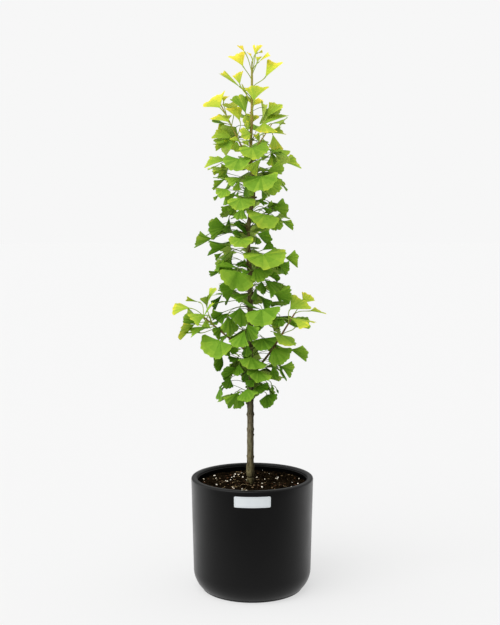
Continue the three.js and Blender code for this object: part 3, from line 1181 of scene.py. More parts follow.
def leaf_mesh(name: str, leaves: list[Leaf], tints: LeafTints) -> Mesh:
    """Joins the blades of some leaves into one mesh.

    Args:
        name: the mesh's name.
        leaves: the leaves.
        tints: the tints that their faces are dealt.

    Returns:
        The mesh.
    """
    blade = sheet_faces(len(GRID.rows) - 1, GRID.columns)
    points = [GRID.points(leaf) for leaf in leaves]
    faces = np.vstack([blade + i * len(points[0]) for i in range(len(leaves))])
    mesh = mesh_from(name, np.vstack(points), faces, 50)
    dealt, is_under = zip(*(GRID.tints(leaf, tints.steps) for leaf in leaves))
    tints.assign(mesh, np.concatenate(dealt), np.concatenate(is_under))
    return mesh


# ---------------------------------------------------------------- growth


@dataclass(frozen=True)
class Spur:
    """A short shoot on a limb, from which leaf stalks leave."""

    root: Array
    out: Array
    length: float
    radius: float

    @property
    def tip(self) -> Array:
        """The spur's end."""
        return self.root + self.out * self.length

    def stem(self) -> Stem:
        """Returns the spur's ringed stem, from inside its limb to its blunt end.

        Returns:
            The stem.
        """
        shares = np.array([-0.35, 0.1, 0.35, 0.5, 0.65, 0.8, 0.93, 1.0])
        sizes = np.array([1.0, 1.15, 0.86, 1.02, 0.88, 1.1, 0.95, 0.4])
        return Stem(self.root + np.outer(shares, self.out) * self.length, sizes * self.radius)


@dataclass(frozen=True)
class Habit:
    """How the leaves of one mass grow: those that stand out, and the rule for the rest.

    Angles are in degrees and lengths in millimetres. lift is the blade's angle above the horizontal.
    A tint runs from deep green at 0 to yellow at 1: tint is the range that the rest are drawn from, and
    the leaves that stand out are given two tints at two distances from the mass's start, deeper green
    near it partly for their age and partly as painted shade inside the crown.
    """

    node: str
    slot: str
    seed: int
    fillers: int
    lift: Pair
    length: Pair
    tint: Pair
    ages: Pair
    distances: Pair = (15.0, 85.0)
    spurs: int = 5
    bough: str = ""

    @property
    def leads(self) -> tuple[Lead, ...]:
        """The leaves that stand out."""
        return LEADS[self.node]


# Places on the plane y = 0 where the sky shows through the leaves, as (x, z, radius).
SKY = (
    (12, 1013, 8), (-6, 1013, 4), (-34, 995, 6), (-28, 985, 5), (28, 962, 5), (-8, 953, 5),
    (68, 953, 10), (-91, 947, 10), (-40, 925, 9), (26, 905, 8), (-41, 889, 12), (-26, 886, 5),
    (60, 881, 6), (-64, 862, 7), (-41, 853, 4), (-18, 849, 9), (65, 849, 8), (13, 841, 7),
    (56, 841, 8), (48, 833, 6), (-70, 826, 8), (18, 812, 9), (45, 801, 4), (-31, 788, 5),
    (-18, 788, 5), (-58, 786, 8), (-39, 770, 4), (46, 763, 8), (-54, 752, 6), (-69, 746, 4),
    (37, 746, 6), (19, 737, 4), (-35, 731, 8), (39, 725, 6), (26, 723, 8), (-79, 713, 8),
    (-29, 709, 10), (-16, 687, 3), (-73, 668, 6), (33, 664, 4), (-81, 647, 6), (-14, 641, 4),
    (26, 635, 6), (35, 626, 4), (-56, 624, 4), (-88, 619, 6), (-37, 613, 4), (31, 608, 5),
    (-69, 604, 4), (-52, 594, 5), (-23, 594, 5), (61, 592, 6), (-81, 578, 4),
    (-66, 573, 3), (-16, 566, 4), (-84, 553, 6), (31, 551, 13), (70, 549, 6), (22, 530, 3),
    (-20, 519, 3), (26, 507, 7), (-50, 498, 9), (-61, 487, 6), (-54, 487, 7), (48, 485, 3),
    (26, 484, 4), (-73, 465, 6), (-33, 453, 9), (22, 448, 4), (-25, 433, 9), (-50, 425, 6),
    (23, 412, 7), (23, 392, 8), (-20, 388, 7),
)

# Heights on the plane y = 0 between which the trunk shows through the leaves.
TRUNK_SHOWS = (
    (340, 416), (491, 534), (613, 655), (683, 708), (763, 805), (837, 856), (908, 922), (972, 1150),
)

# The leaves that stand out in each mass.
LEADS: dict[str, tuple[Lead, ...]] = {
    "foliage_leader_tuft": (
        Lead(-16, 1137, -6, (-8, 12), (-14, 10), (-3, 11), WEDGE),
        Lead(6, 1131, 4, (1, 18), (-7, 17), (14, 17), WEDGE, notch=0.4),
        Lead(11, 1135, 10, (9, 2), (9, 4), (9, 0), WEDGE),
        Lead(-2, 1127, 14, (-5, 8), (-9, 8), (0, 5), WEDGE),
        Lead(10, 1116, 18, (3, 10), (-3, 10), (9, 9), WEDGE),
        Lead(13, 1116, 8, (19, 15), (16, 16), (20, 12), WEDGE),
        Lead(-19, 1107, -10, (-14, 22), (-29, 22), (4, 27), WEDGE),
        Lead(27, 1085, -8, (20, 28), (4, 32), (35, 22), WEDGE),
        Lead(-26, 1065, -14, (-31, 27), (-39, 23), (-25, 31), WEDGE),
        Lead(-26, 1070, 22, (-5, 21), (-15, 16), (7, 25), WEDGE),
        Lead(3, 1036, -20, (1, 26), (-18, 25), (28, 30), FAN),
        Lead(-7, 1042, 14, (-13, 23), (-17, 25), (-10, 14), WEDGE),
        Lead(-14, 1011, -16, (-9, 32), (-29, 28), (9, 32), WEDGE),
    ),
    "foliage_spray_upper_left": (
        Lead(-67, 1022, -20, (-15, 19), (-32, 1), (9, 32), FAN),
        Lead(-60, 1034, -4, (1, 10), (-5, 9), (10, 14), WEDGE),
        Lead(-40, 1013, 10, (-6, 18), (-21, 14), (8, 10), WEDGE, shows_back=True),
        Lead(-26, 995, -18, (-13, 25), (-27, 24), (6, 25), WEDGE),
        Lead(-50, 993, -26, (-14, 12), (-35, 5), (7, 17), FAN, notch=0.35),
    ),
    "foliage_spray_upper_right": (
        Lead(30, 1003, 0, (20, 26), (5, 28), (32, 17), WEDGE),
        Lead(26, 989, -12, (24, 19), (3, 25), (47, 14), WEDGE),
        Lead(38, 989, -4, (22, 5), (16, 7), (28, 3), WEDGE),
        Lead(24, 993, -30, (5, -20), (-16, -14), (25, -19), FAN),
        Lead(20, 968, 6, (38, 6), (31, 12), (42, 5), WEDGE),
        Lead(22, 999, 10, (2, 29), (-4, 33), (10, 25), WEDGE, shows_back=True),
    ),
    "foliage_whorl_10": (
        Lead(-11, 980, 12, (3, 27), (-13, 17), (21, 25), WEDGE),
        Lead(-3, 968, -38, (-21, -1), (-15, 15), (-4, -13), FAN),
        Lead(-8, 974, -6, (-5, 19), (-12, 12), (1, 21), WEDGE),
        Lead(43, 967, -10, (4, -29), (-10, -27), (24, -31), FAN),
        Lead(-32, 953, -44, (-5, -20), (-14, -8), (8, -17), FAN),
        Lead(-42, 958, -8, (-32, 18), (-39, 2), (-19, 33), WEDGE),
        Lead(-47, 955, -16, (-29, -12), (-34, -5), (-28, -21), WEDGE),
        Lead(-30, 960, 0, (-21, -15), (-29, -6), (-17, -23), FAN),
        Lead(-24, 951, -24, (-18, 10), (-23, 6), (-10, 12), WEDGE),
        Lead(-7, 955, -20, (-9, -8), (-15, 0), (0, -12), FAN),
        Lead(14, 951, 0, (-7, 16), (-13, 12), (0, 17), WEDGE),
    ),
    "foliage_whorl_9": (
        Lead(0, 940, -58, (9, -22), (-24, 3), (30, 13), HEART),
        Lead(-27, 917, -60, (-6, -24), (-35, 3), (17, 6), HEART),
        Lead(-53, 912, -10, (-34, 3), (-47, -10), (-21, 15), WEDGE),
        Lead(-66, 907, -24, (-25, -13), (-27, -16), (-19, -5), WEDGE),
        Lead(-49, 901, 4, (-15, -13), (-17, 6), (-11, -25), FAN),
        Lead(-64, 891, -14, (-17, -1), (-18, 2), (-15, -8), WEDGE),
        Lead(37, 936, -20, (36, -11), (33, -16), (38, -7), WEDGE),
        Lead(61, 910, -6, (30, 3), (18, 12), (40, -9), WEDGE),
        Lead(39, 931, -4, (8, -31), (-6, -23), (18, -17), WEDGE),
        Lead(20, 917, -30, (-25, -26), (-38, -20), (-10, -33), WEDGE),
        Lead(29, 891, -34, (34, 6), (27, 20), (32, -10), WEDGE),
        Lead(33, 892, -26, (-15, 2), (-17, 9), (-11, -4), WEDGE),
        Lead(37, 920, 8, (-17, -2), (-17, 4), (-15, -6), WEDGE),
    ),
    "foliage_whorl_8": (
        Lead(19, 880, -66, (-5, -31), (-36, -2), (32, 5), HEART),
        Lead(31, 864, -40, (21, -19), (-4, -15), (28, 6), BROAD),
        Lead(60, 872, -16, (13, -21), (11, -23), (15, -16), WEDGE),
        Lead(20, 850, -8, (7, -16), (0, -20), (11, -9), WEDGE),
        Lead(-24, 876, -46, (-25, -10), (-34, 4), (-17, -19), FAN),
        Lead(-49, 878, -6, (-21, 6), (-23, -2), (-15, 27), WEDGE),
        Lead(-56, 875, -12, (-26, -14), (-25, -22), (-23, -2), WEDGE),
        Lead(-55, 854, -34, (-10, -19), (-23, -1), (6, -7), BROAD),
        Lead(-70, 844, -20, (-10, -13), (-11, -9), (-7, -14), WEDGE),
        Lead(-26, 872, -30, (-9, -21), (-15, -15), (0, -19), WEDGE),
        Lead(-13, 870, -24, (8, -32), (-2, -27), (15, -19), WEDGE),
        Lead(-34, 849, -10, (-21, -19), (-25, -10), (-13, -29), WEDGE),
        Lead(-28, 851, -30, (-6, -13), (-7, -13), (-2, -15), WEDGE),
    ),
    "foliage_whorl_7": (
        Lead(-25, 834, -66, (-3, -24), (-23, 0), (31, -3), HEART, notch=0.12),
        Lead(-43, 817, -12, (-22, -5), (-20, 1), (-18, -14), WEDGE),
        Lead(-20, 816, -40, (-8, -25), (-21, -20), (9, -22), FAN),
        Lead(6, 831, -30, (25, -7), (15, -14), (28, -5), WEDGE),
        Lead(26, 800, -64, (-1, -28), (-37, 12), (23, -2), HEART),
        Lead(42, 815, -8, (32, -1), (21, 20), (28, -20), WEDGE),
        Lead(46, 795, -30, (7, -27), (-7, -23), (19, -15), FAN),
        Lead(61, 788, -18, (24, -14), (19, 0), (25, -23), WEDGE),
        Lead(29, 816, -16, (14, 7), (11, 13), (15, 0), WEDGE),
        Lead(21, 816, -20, (19, -10), (11, -15), (17, -2), WEDGE),
        Lead(-5, 803, -20, (13, -21), (2, -19), (17, -10), WEDGE),
        Lead(-34, 820, -6, (-13, -17), (-17, -8), (-6, -19), WEDGE),
    ),
    "foliage_whorl_6": (
        Lead(-56, 776, -22, (-34, -8), (-24, -28), (-21, 21), FAN),
        Lead(-85, 750, -16, (-33, -4), (-36, -21), (-24, 12), WEDGE),
        Lead(-11, 755, -14, (-17, 29), (-28, 26), (2, 24), WEDGE),
        Lead(-49, 795, -8, (-5, -34), (-11, -23), (4, -27), WEDGE),
        Lead(-20, 751, -24, (-17, 15), (-20, 11), (-11, 17), WEDGE),
        Lead(-23, 749, -60, (-1, -18), (-23, 5), (23, 6), HEART),
        Lead(10, 761, -24, (30, -11), (15, -23), (19, 5), FAN),
        Lead(10, 765, -30, (19, 9), (13, 11), (23, 4), WEDGE),
        Lead(21, 725, -22, (23, 11), (13, 20), (29, 0), WEDGE),
        Lead(-53, 734, -4, (-34, -3), (-44, -23), (-39, 11), WEDGE),
        Lead(-56, 738, -14, (-34, 4), (-36, 9), (-36, -2), WEDGE),
        Lead(-63, 720, -10, (-15, -11), (-16, -4), (-14, -15), WEDGE),
        Lead(8, 755, 6, (6, -17), (0, -15), (11, -11), WEDGE),
    ),
    "foliage_whorl_5": (
        Lead(22, 716, -66, (16, -27), (-40, 14), (35, 22), HEART),
        Lead(70, 709, -14, (26, -1), (18, 15), (24, -20), WEDGE),
        Lead(57, 694, -24, (19, -13), (13, -21), (18, 6), FAN),
        Lead(-32, 681, -70, (-2, -40), (-35, -1), (36, -17), BROAD, notch=0.16),
        Lead(-30, 687, -36, (-34, 11), (-49, -2), (-36, 21), WEDGE),
        Lead(-66, 682, -6, (-23, -8), (-25, -1), (-20, -16), WEDGE),
        Lead(4, 686, -52, (23, -22), (-4, -24), (38, -2), BROAD),
        Lead(-7, 687, -14, (-23, 11), (-29, 6), (-8, 17), FAN),
        Lead(-5, 681, -40, (-15, -5), (-15, 2), (-8, -11), FAN),
        Lead(-34, 649, -30, (-33, -10), (-28, 10), (-17, -27), FAN),
        Lead(25, 663, -34, (30, -24), (15, -38), (39, -11), WEDGE),
        Lead(38, 672, -12, (19, -4), (8, 8), (15, -13), FAN),
        Lead(19, 660, -30, (4, -28), (-11, -13), (12, -17), FAN),
        Lead(44, 633, -34, (38, -2), (30, 20), (32, -21), FAN),
        Lead(8, 649, -24, (-6, -28), (-13, -21), (0, -28), WEDGE),
        Lead(-7, 630, -20, (-30, -9), (-38, 2), (-19, -15), FAN),
    ),
    "foliage_whorl_4": (
        Lead(21, 600, -68, (3, -34), (-34, -10), (35, 4), HEART),
        Lead(16, 600, -40, (-32, 13), (-38, 17), (-25, -1), WEDGE),
        Lead(-26, 604, -44, (2, -38), (-21, -15), (21, -23), FAN),
        Lead(-52, 585, -50, (4, -41), (-15, -21), (25, -21), FAN),
        Lead(-64, 632, -10, (-19, -28), (-20, -17), (-13, -32), WEDGE),
        Lead(-60, 594, -20, (-26, -9), (-23, 2), (-23, -17), WEDGE),
        Lead(-49, 592, -14, (-23, -17), (-28, -9), (-17, -23), WEDGE),
        Lead(10, 570, -40, (11, -11), (2, -15), (15, 0), FAN),
        Lead(59, 584, -18, (-5, -22), (-18, -13), (11, -12), FAN, notch=0.25),
        Lead(21, 622, -20, (13, -21), (4, -21), (17, -6), FAN),
    ),
    "foliage_spray_lower_left": (
        Lead(-132, 602, -30, (-30, 3), (-34, -9), (-19, 13), WEDGE),
        Lead(-113, 615, -6, (-24, 4), (-23, 7), (-23, 1), WEDGE),
        Lead(-97, 607, 10, (-2, 18), (-12, 12), (8, 22), FAN, shows_back=True),
        Lead(-95, 613, 14, (11, 28), (6, 26), (14, 27), WEDGE),
        Lead(-103, 584, -36, (15, 26), (9, 26), (20, 27), WEDGE),
        Lead(-96, 587, -40, (-34, -4), (-38, 3), (-19, -14), FAN),
        Lead(-122, 568, -22, (-27, -11), (-29, -31), (-22, 4), FAN),
        Lead(-86, 562, -34, (-39, -10), (-44, -4), (-40, -16), WEDGE),
        Lead(-96, 583, -12, (-3, -22), (-13, -22), (7, -20), WEDGE),
    ),
    "foliage_spray_lower_right": (
        Lead(80, 599, -26, (23, 22), (1, 26), (40, -1), FAN),
        Lead(107, 613, -8, (13, 16), (-2, 21), (24, 4), FAN),
        Lead(122, 596, 6, (21, 2), (11, 10), (32, -7), WEDGE),
        Lead(81, 581, -44, (35, -15), (17, -18), (50, -3), WEDGE, notch=0.15),
        Lead(61, 546, -40, (11, -21), (-14, 6), (29, -9), BROAD),
        Lead(81, 514, -12, (31, -8), (24, 7), (30, -25), WEDGE),
    ),
    "foliage_whorl_3": (
        Lead(-68, 533, -52, (-16, -36), (-38, 7), (20, -12), HEART),
        Lead(-15, 555, -62, (-17, -34), (-31, -24), (4, -28), WEDGE),
        Lead(-11, 568, -56, (15, -34), (-2, -30), (26, -6), FAN),
        Lead(21, 538, -50, (2, -26), (-18, -7), (30, -2), HEART),
        Lead(-66, 564, -16, (-13, -21), (-18, -4), (-4, -28), FAN),
        Lead(-50, 545, -30, (-17, -9), (-19, -4), (-13, -13), WEDGE),
        Lead(-9, 528, -30, (-4, -28), (-17, -21), (6, -19), FAN),
        Lead(-50, 517, -20, (15, -11), (4, -13), (19, -2), WEDGE),
        Lead(-45, 517, -8, (-15, -13), (-17, -6), (-4, -17), WEDGE),
        Lead(44, 515, -50, (17, -33), (-11, -26), (36, -4), BROAD),
    ),
    "foliage_whorl_2": (
        Lead(-3, 498, -56, (-2, -24), (-25, -9), (32, -19), BROAD),
        Lead(12, 470, -60, (0, -24), (-22, -4), (27, -15), BROAD),
        Lead(-26, 495, -20, (-23, -4), (-21, 1), (-11, -9), WEDGE),
        Lead(-20, 502, -24, (15, -8), (2, -11), (19, 0), FAN),
        Lead(-30, 474, -30, (-32, -9), (-28, -26), (-20, 8), FAN),
        Lead(-28, 482, -40, (-2, -23), (-15, -16), (10, -14), FAN),
        Lead(-11, 467, -30, (-7, -23), (-13, -14), (4, -20), WEDGE),
        Lead(6, 450, -44, (-13, -16), (-21, -4), (-2, -15), FAN),
        Lead(-65, 501, -8, (-10, -32), (-19, -3), (2, -14), WEDGE),
        Lead(61, 478, -16, (27, -5), (18, -24), (23, 10), FAN),
        Lead(44, 480, -20, (6, -30), (-4, -19), (16, -13), WEDGE),
    ),
    "foliage_whorl_1": (
        Lead(-48, 455, -30, (-5, -25), (-17, -13), (6, -19), FAN),
        Lead(-67, 435, -14, (-3, -27), (-11, -24), (5, -15), WEDGE),
        Lead(-32, 421, -46, (-10, -35), (-29, -10), (15, -23), FAN, notch=0.35),
        Lead(-11, 429, -58, (-2, -26), (-21, -17), (20, -9), BROAD),
        Lead(10, 435, -40, (13, -13), (-5, -9), (26, 6), BROAD),
        Lead(31, 417, -24, (3, -28), (-13, -15), (22, -3), BROAD),
        Lead(41, 440, -10, (1, -15), (-3, -11), (5, -11), WEDGE),
        Lead(51, 431, -6, (4, -11), (1, -9), (6, -6), WEDGE),
    ),
}


@dataclass(frozen=True)
class GrowthRule:
    """What all the masses of leaves share.

    Lengths are in millimetres. A sway is how far a direction strays, in radians, and the ranges of
    climb, droop, cup and skew are drawn from evenly. A blade's opening is in degrees from its axis,
    and a corner's reach goes from one share of its length to another as the blade opens.
    """

    spur_shares: Pair = (0.62, 1.0)
    spur_rise: Pair = (0.3, 0.7)
    spur_radius: Pair = (0.8, 2.3)
    spur_length: Pair = (1.6, 3.4)
    stalk: Pair = (30.0, 54.0)
    stalk_climb: Pair = (-0.15, 0.75)
    stalk_sway: float = 0.75
    longest_stalk: float = 58.0
    young_stalk: float = 30.0
    stalk_radius: float = 0.62
    young_stalk_radius: float = 0.9
    stalk_rise: float = 0.35
    stalk_bends: Pair = (0.38, 0.36)
    longest_bend: float = 15.0
    stalk_places: Row = (0.0, 0.12, 0.7, 1.0)
    stalk_sizes: Row = (1.35, 1.0, 1.0, 1.5)
    twig_radius: float = 1.0
    twig_taper: Pair = (1.25, 0.95)
    twig_rise: float = 0.25
    twig_bow: float = 0.06
    node_reach: float = 0.7
    node_radius: float = 0.85
    node_rise: float = 0.4
    blade_sway: float = 0.5
    blade_roll: float = 0.45
    opening: Pair = (38.0, 100.0)
    reach_openings: Pair = (34.0, 97.0)
    reaches: Pair = (1.14, 0.92)
    skew: float = 0.08
    notches: Row = (0.0, 0.0, 0.12, 0.3)
    droop: Pair = (0.15, 0.75)
    falling_droop: Pair = (0.25, 0.6)
    rising_droop: Pair = (0.05, 0.3)
    cup: Pair = (-0.12, 0.06)
    lead_cup: Pair = (-0.12, 0.04)
    lead_reach: Pair = (-0.45, 1.1)
    lead_shift: Pair = (-0.22, 0.22)
    grown: float = 1.06
    young_grown: float = 1.15
    lobe_turn: float = 1.12
    lobe_reach: float = 1.04
    tint_chance: float = 0.05
    tries: int = 54
    room: Triple = (6.0, 6.0, 16.0)
    front_limit: float = -34.0
    spread_weight: float = 0.8
    free_distance: float = 34.0


class Crown:
    """Grows every leaf of the tree, with its stalk, twig and spur."""

    def __init__(self, trunk: Stem, boughs: dict[str, Stem], sight: Sight) -> None:
        """Starts with bare limbs.

        Args:
            trunk: the trunk's axis.
            boughs: the boughs' axes, by name.
            sight: where the tree is looked at from.
        """
        self.trunk = trunk
        self.boughs = boughs
        self.sight = sight
        self.rule = GrowthRule()
        self.view = FrontView(sight, trunk)
        self.leaves: dict[str, list[Leaf]] = {}
        self.centres: list[Array] = []
        self.stalks: dict[str, list[Stem]] = {"leaf": [], YOUNG: []}
        self.twigs: list[Stem] = []
        self.spurs: list[Spur] = []

    def trunk_at_height(self, height: float) -> Array:
        """Returns the trunk's axis at a height."""
        return self.trunk.at(self.trunk.share_at_height(height))

    def spurs_of(self, habit: Habit, rng: Chance) -> list[Spur]:
        """Sets a mass's spurs round its limb by the golden angle.

        Args:
            habit: the mass's habit.
            rng: the source of chance.

        Returns:
            The spurs.
        """
        low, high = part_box(habit.node)
        limb = self.boughs.get(habit.bough, self.trunk)
        spurs = []
        for i in range(habit.spurs):
            if habit.bough:
                share = np.interp(i, [0, habit.spurs - 1], self.rule.spur_shares)
            else:
                height = low.z + (high.z - low.z) * (i + 0.5 + rng.uniform(-0.25, 0.25)) / habit.spurs
                share = limb.share_at_height(min(height, limb.points[-1][2] - 2 * MM))
            radius = limb.radius_at(share)
            turn = i * GOLDEN_ANGLE + habit.seed
            along = limb.along(share)
            across = unit(np.cross(along, FRONT))
            over = np.cross(across, along)
            rise = rng.uniform(*self.rule.spur_rise)
            out = unit(across * math.cos(turn) + over * math.sin(turn) + along * rise)
            size = clamp(radius * 0.5, *(limit * MM for limit in self.rule.spur_radius))
            length = radius + size * rng.uniform(*self.rule.spur_length)
            spurs.append(Spur(limb.at(share), out, length, size))
        return spurs

    def lead_tint(self, foot: Array, habit: Habit, rng: Chance) -> float:
        """Returns the tint of a leaf that stands out, by how far it is from its mass's start.

        Leaves near the start are deeper green, partly for their age and partly as painted shade in the
        crown.

        Args:
            foot: the foot of the leaf's blade.
            habit: the mass's habit.
            rng: the source of chance.

        Returns:
            The tint, from 0 to 1.
        """
        start = self.trunk_at_height(foot[2])
        if habit.bough:
            start = self.boughs[habit.bough].points[0]
        elif habit.slot == YOUNG:
            start = self.trunk_at_height(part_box(habit.node)[0].z)
        distance = np.linalg.norm(foot - start) / MM
        # Partly painted shade: deeper green near the mass's start, inside the crown, and paler further out.
        tint = np.interp(distance, habit.distances, habit.ages) + rng.normal(0, self.rule.tint_chance)
        return clamp(float(tint), 0.0, 1.0)

    def lead_leaf(self, lead: Lead, habit: Habit, seed: int) -> Leaf:
        """Turns a leaf that is told as it is seen into one in space.

        The axis and the side of a blade are two equal lines at right angles. What is seen of both
        gives their length, and how far each leans towards the eye.

        Args:
            lead: the leaf as it is seen.
            habit: its mass's habit.
            seed: the seed of what is left to chance.

        Returns:
            The leaf.
        """
        rule = self.rule
        rng = np.random.default_rng(seed)
        foot = self.sight.place(lead.x * MM, lead.z * MM, lead.y * MM)
        towards = unit(np.array(self.sight.eye) - foot)
        seen = np.array([[across, 0.0, up] for across, up in (lead.middle, lead.left, lead.right)])
        seen *= self.sight.scale(lead.y * MM) * MM
        along, left, right = seen - np.outer(seen @ towards, towards)
        half = (right - left) / (2 * lead.shape.value)
        axes = np.stack([along, half], axis=1)
        reach, shift = np.linalg.lstsq(axes, (left + right) / 2, rcond=None)[0]
        reach, shift = clamp(reach, *rule.lead_reach), clamp(shift, *rule.lead_shift)
        a, b, c = along @ along, half @ half, along @ half
        square = (a + b + math.sqrt((a - b) ** 2 + 4 * c**2)) / 2
        lean, turn = (math.sqrt(max(0.0, 1 - part / square)) for part in (a, b))
        if (lead.middle[1] > 0) != lead.shows_back:
            lean = -lean
        if c * lean > 0:
            turn = -turn
        axis = unit(along / math.sqrt(square) + towards * lean)
        normal = unit(np.cross(axis, half / math.sqrt(square) + towards * turn))
        if (normal @ towards < 0) != lead.shows_back:
            normal, shift = -normal, -shift
        widths = (lead.shape.value - shift, lead.shape.value + shift)
        has_lobes = lead.shape in (BROAD, HEART)
        more_turn, more_reach = (rule.lobe_turn, rule.lobe_reach) if has_lobes else (1.0, 1.0)
        spread = tuple(math.atan2(width, reach) * more_turn for width in widths)
        corner = tuple(math.hypot(width, reach) * more_reach for width in widths)
        length = math.sqrt(square) * (rule.young_grown if habit.slot == YOUNG else rule.grown)
        droop = rng.uniform(*(rule.falling_droop if lead.middle[1] < 0 else rule.rising_droop))
        cup = rng.uniform(*rule.lead_cup)
        tint = self.lead_tint(foot, habit, rng)
        return Leaf(foot, axis, normal, length, spread, corner, tint, lead.notch, droop, cup, seed)

    def filler_leaf(self, habit: Habit, spur: Spur, rng: Chance) -> Leaf:
        """Draws one leaf from a mass's rule, on a stalk from a spur.

        Args:
            habit: the mass's habit.
            spur: the spur.
            rng: the source of chance.

        Returns:
            The leaf.
        """
        rule = self.rule
        heading = math.atan2(spur.out[1], spur.out[0]) + rng.normal(0, rule.stalk_sway)
        climb = rng.uniform(*rule.stalk_climb)
        reach = rng.uniform(*rule.stalk) * MM
        foot = spur.tip + reach * (level(heading) * math.cos(climb) + UP * math.sin(climb))
        lift = math.radians(rng.uniform(*habit.lift))
        away = level(heading + rng.normal(0, rule.blade_sway))
        axis = away * math.cos(lift) + UP * math.sin(lift)
        face = unit(UP - (UP @ axis) * axis)
        roll = rng.normal(0, rule.blade_roll)
        normal = face * math.cos(roll) + np.cross(face, axis) * math.sin(roll)
        length = rng.uniform(*habit.length) * MM
        opening = rng.uniform(*rule.opening)
        skew = rng.uniform(-rule.skew, rule.skew)
        spread = (math.radians(opening) * (1 - skew), math.radians(opening) * (1 + skew))
        corner = (float(np.interp(opening, rule.reach_openings, rule.reaches)),) * 2
        notch = rng.choice(rule.notches)
        tint = rng.uniform(*habit.tint)
        droop = rng.uniform(*rule.droop)
        cup = rng.uniform(*rule.cup)
        seed = int(rng.integers(1 << 30))
        return Leaf(foot, axis, normal, length, spread, corner, tint, notch, droop, cup, seed)

    def worth(self, leaf: Leaf, low: Array, high: Array) -> float:
        """Says how well a leaf fills its mass.

        Args:
            leaf: the leaf.
            low: the lowest corner of the room that the mass has.
            high: the highest corner of that room.

        Returns:
            -1 where the leaf has no room, and more the more it covers and the freer it stands.
        """
        points = GRID.filled(leaf)
        inside = (points > low).all() and (points < high).all()
        behind = points[:, 1].min() > self.rule.front_limit * MM
        gain = self.view.gain(points) if inside and behind else -1
        if gain < 0:
            return -1.0
        middle = leaf.middle
        nearest = min(np.linalg.norm(middle - other) for other in self.centres) / MM
        return gain + self.rule.spread_weight * min(nearest, self.rule.free_distance)

    def add(self, leaf: Leaf, node: str) -> None:
        """Adds a leaf to a mass.

        Args:
            leaf: the leaf.
            node: the mass's CAD node.
        """
        self.leaves.setdefault(node, []).append(leaf)
        self.centres.append(leaf.middle)
        self.view.mark(GRID.filled(leaf))

    def wanted_start(self, leaf: Leaf, slot: str) -> Array:
        """Returns the place from which a leaf's stalk would best leave its limb.

        Args:
            leaf: the leaf.
            slot: its mass's material slot.

        Returns:
            The place.
        """
        reach = (self.rule.young_stalk if slot == YOUNG else self.rule.stalk[1]) * MM
        out = leaf.foot - self.trunk_at_height(leaf.foot[2])
        rise = clamp(leaf.axis[2], 0.1, 0.95)
        inwards = min(reach * (1 - rise * 0.5), np.linalg.norm(out))
        return leaf.foot - (inwards * unit(out) + rise * reach * UP)

    def node_for(self, leaf: Leaf, limb: Stem) -> Spur:
        """Makes a small node on a long shoot for one leaf's stalk.

        Args:
            leaf: the leaf.
            limb: the shoot.

        Returns:
            The node.
        """
        start = self.wanted_start(leaf, YOUNG)
        shares = np.linspace(0.25, 1, 120)
        share = min(shares, key=lambda s: np.linalg.norm(limb.at(s) - start))
        rule = self.rule
        out = unit(unit(leaf.foot - limb.at(share)) + rule.node_rise * limb.along(share))
        length = limb.radius_at(share) + rule.node_reach * MM
        return Spur(limb.at(share), out, length, rule.node_radius * MM)

    def carry(self, leaf: Leaf, spurs: list[Spur], slot: str) -> None:
        """Joins a leaf to a spur by its stalk, and by a twig where the stalk is too short.

        Args:
            leaf: the leaf.
            spurs: the spurs of its mass.
            slot: its mass's material slot.
        """
        rule = self.rule
        start = self.wanted_start(leaf, slot)
        spur = min(spurs, key=lambda s: np.linalg.norm(s.tip - start))
        start = spur.tip - spur.out * min(0.3 * spur.length, 1.5 * MM)
        span = np.linalg.norm(leaf.foot - start)
        longest = rule.longest_stalk * MM
        if span > longest:
            straight = unit(leaf.foot - start)
            node = start + (span - longest * 0.9) * unit(straight + rule.twig_rise * UP)
            middle = (start + node) / 2 + rule.twig_bow * span * spur.out
            radii = np.linspace(*rule.twig_taper, 9) * rule.twig_radius * MM
            self.twigs.append(Stem(bezier(start, middle, (middle + node) / 2, node, 9), radii))
            start = node
            span = np.linalg.norm(leaf.foot - start)
        leaving = unit(unit(leaf.foot - start) + rule.stalk_rise * UP)
        rise = start + leaving * span * rule.stalk_bends[0]
        fall = leaf.foot - leaf.axis * min(rule.stalk_bends[1] * span, rule.longest_bend * MM)
        end = leaf.foot + leaf.axis * 0.05 * leaf.length
        thick = rule.young_stalk_radius if slot == YOUNG else rule.stalk_radius
        radii = np.interp(np.linspace(0, 1, 10), rule.stalk_places, rule.stalk_sizes) * thick * MM
        self.stalks[slot].append(Stem(bezier(start, rise, fall, end, 10), radii))

    def fill(self, habit: Habit) -> None:
        """Grows the rest of a mass by its seeded rule, each leaf the best of some tries.

        Args:
            habit: the mass's habit.
        """
        rng = np.random.default_rng(habit.seed)
        spurs = self.spurs_of(habit, rng)
        low, high = (np.array(corner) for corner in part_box(habit.node))
        room = np.array(self.rule.room) * MM
        for i in range(habit.fillers):
            tries = [self.filler_leaf(habit, spurs[i % len(spurs)], rng) for _ in range(self.rule.tries)]
            worths = [self.worth(leaf, low - room, high + room) for leaf in tries]
            if max(worths) > 0:
                self.add(tries[int(np.argmax(worths))], habit.node)
        leaves = self.leaves[habit.node]
        if habit.slot == YOUNG:
            limb = self.boughs.get(habit.bough, self.trunk)
            spurs = [self.node_for(leaf, limb) for leaf in leaves]
        self.spurs += spurs
        for leaf in leaves:
            self.carry(leaf, spurs, habit.slot)
        log.info("%s: %d leaves, %d of them told", habit.node, len(leaves), len(habit.leads))

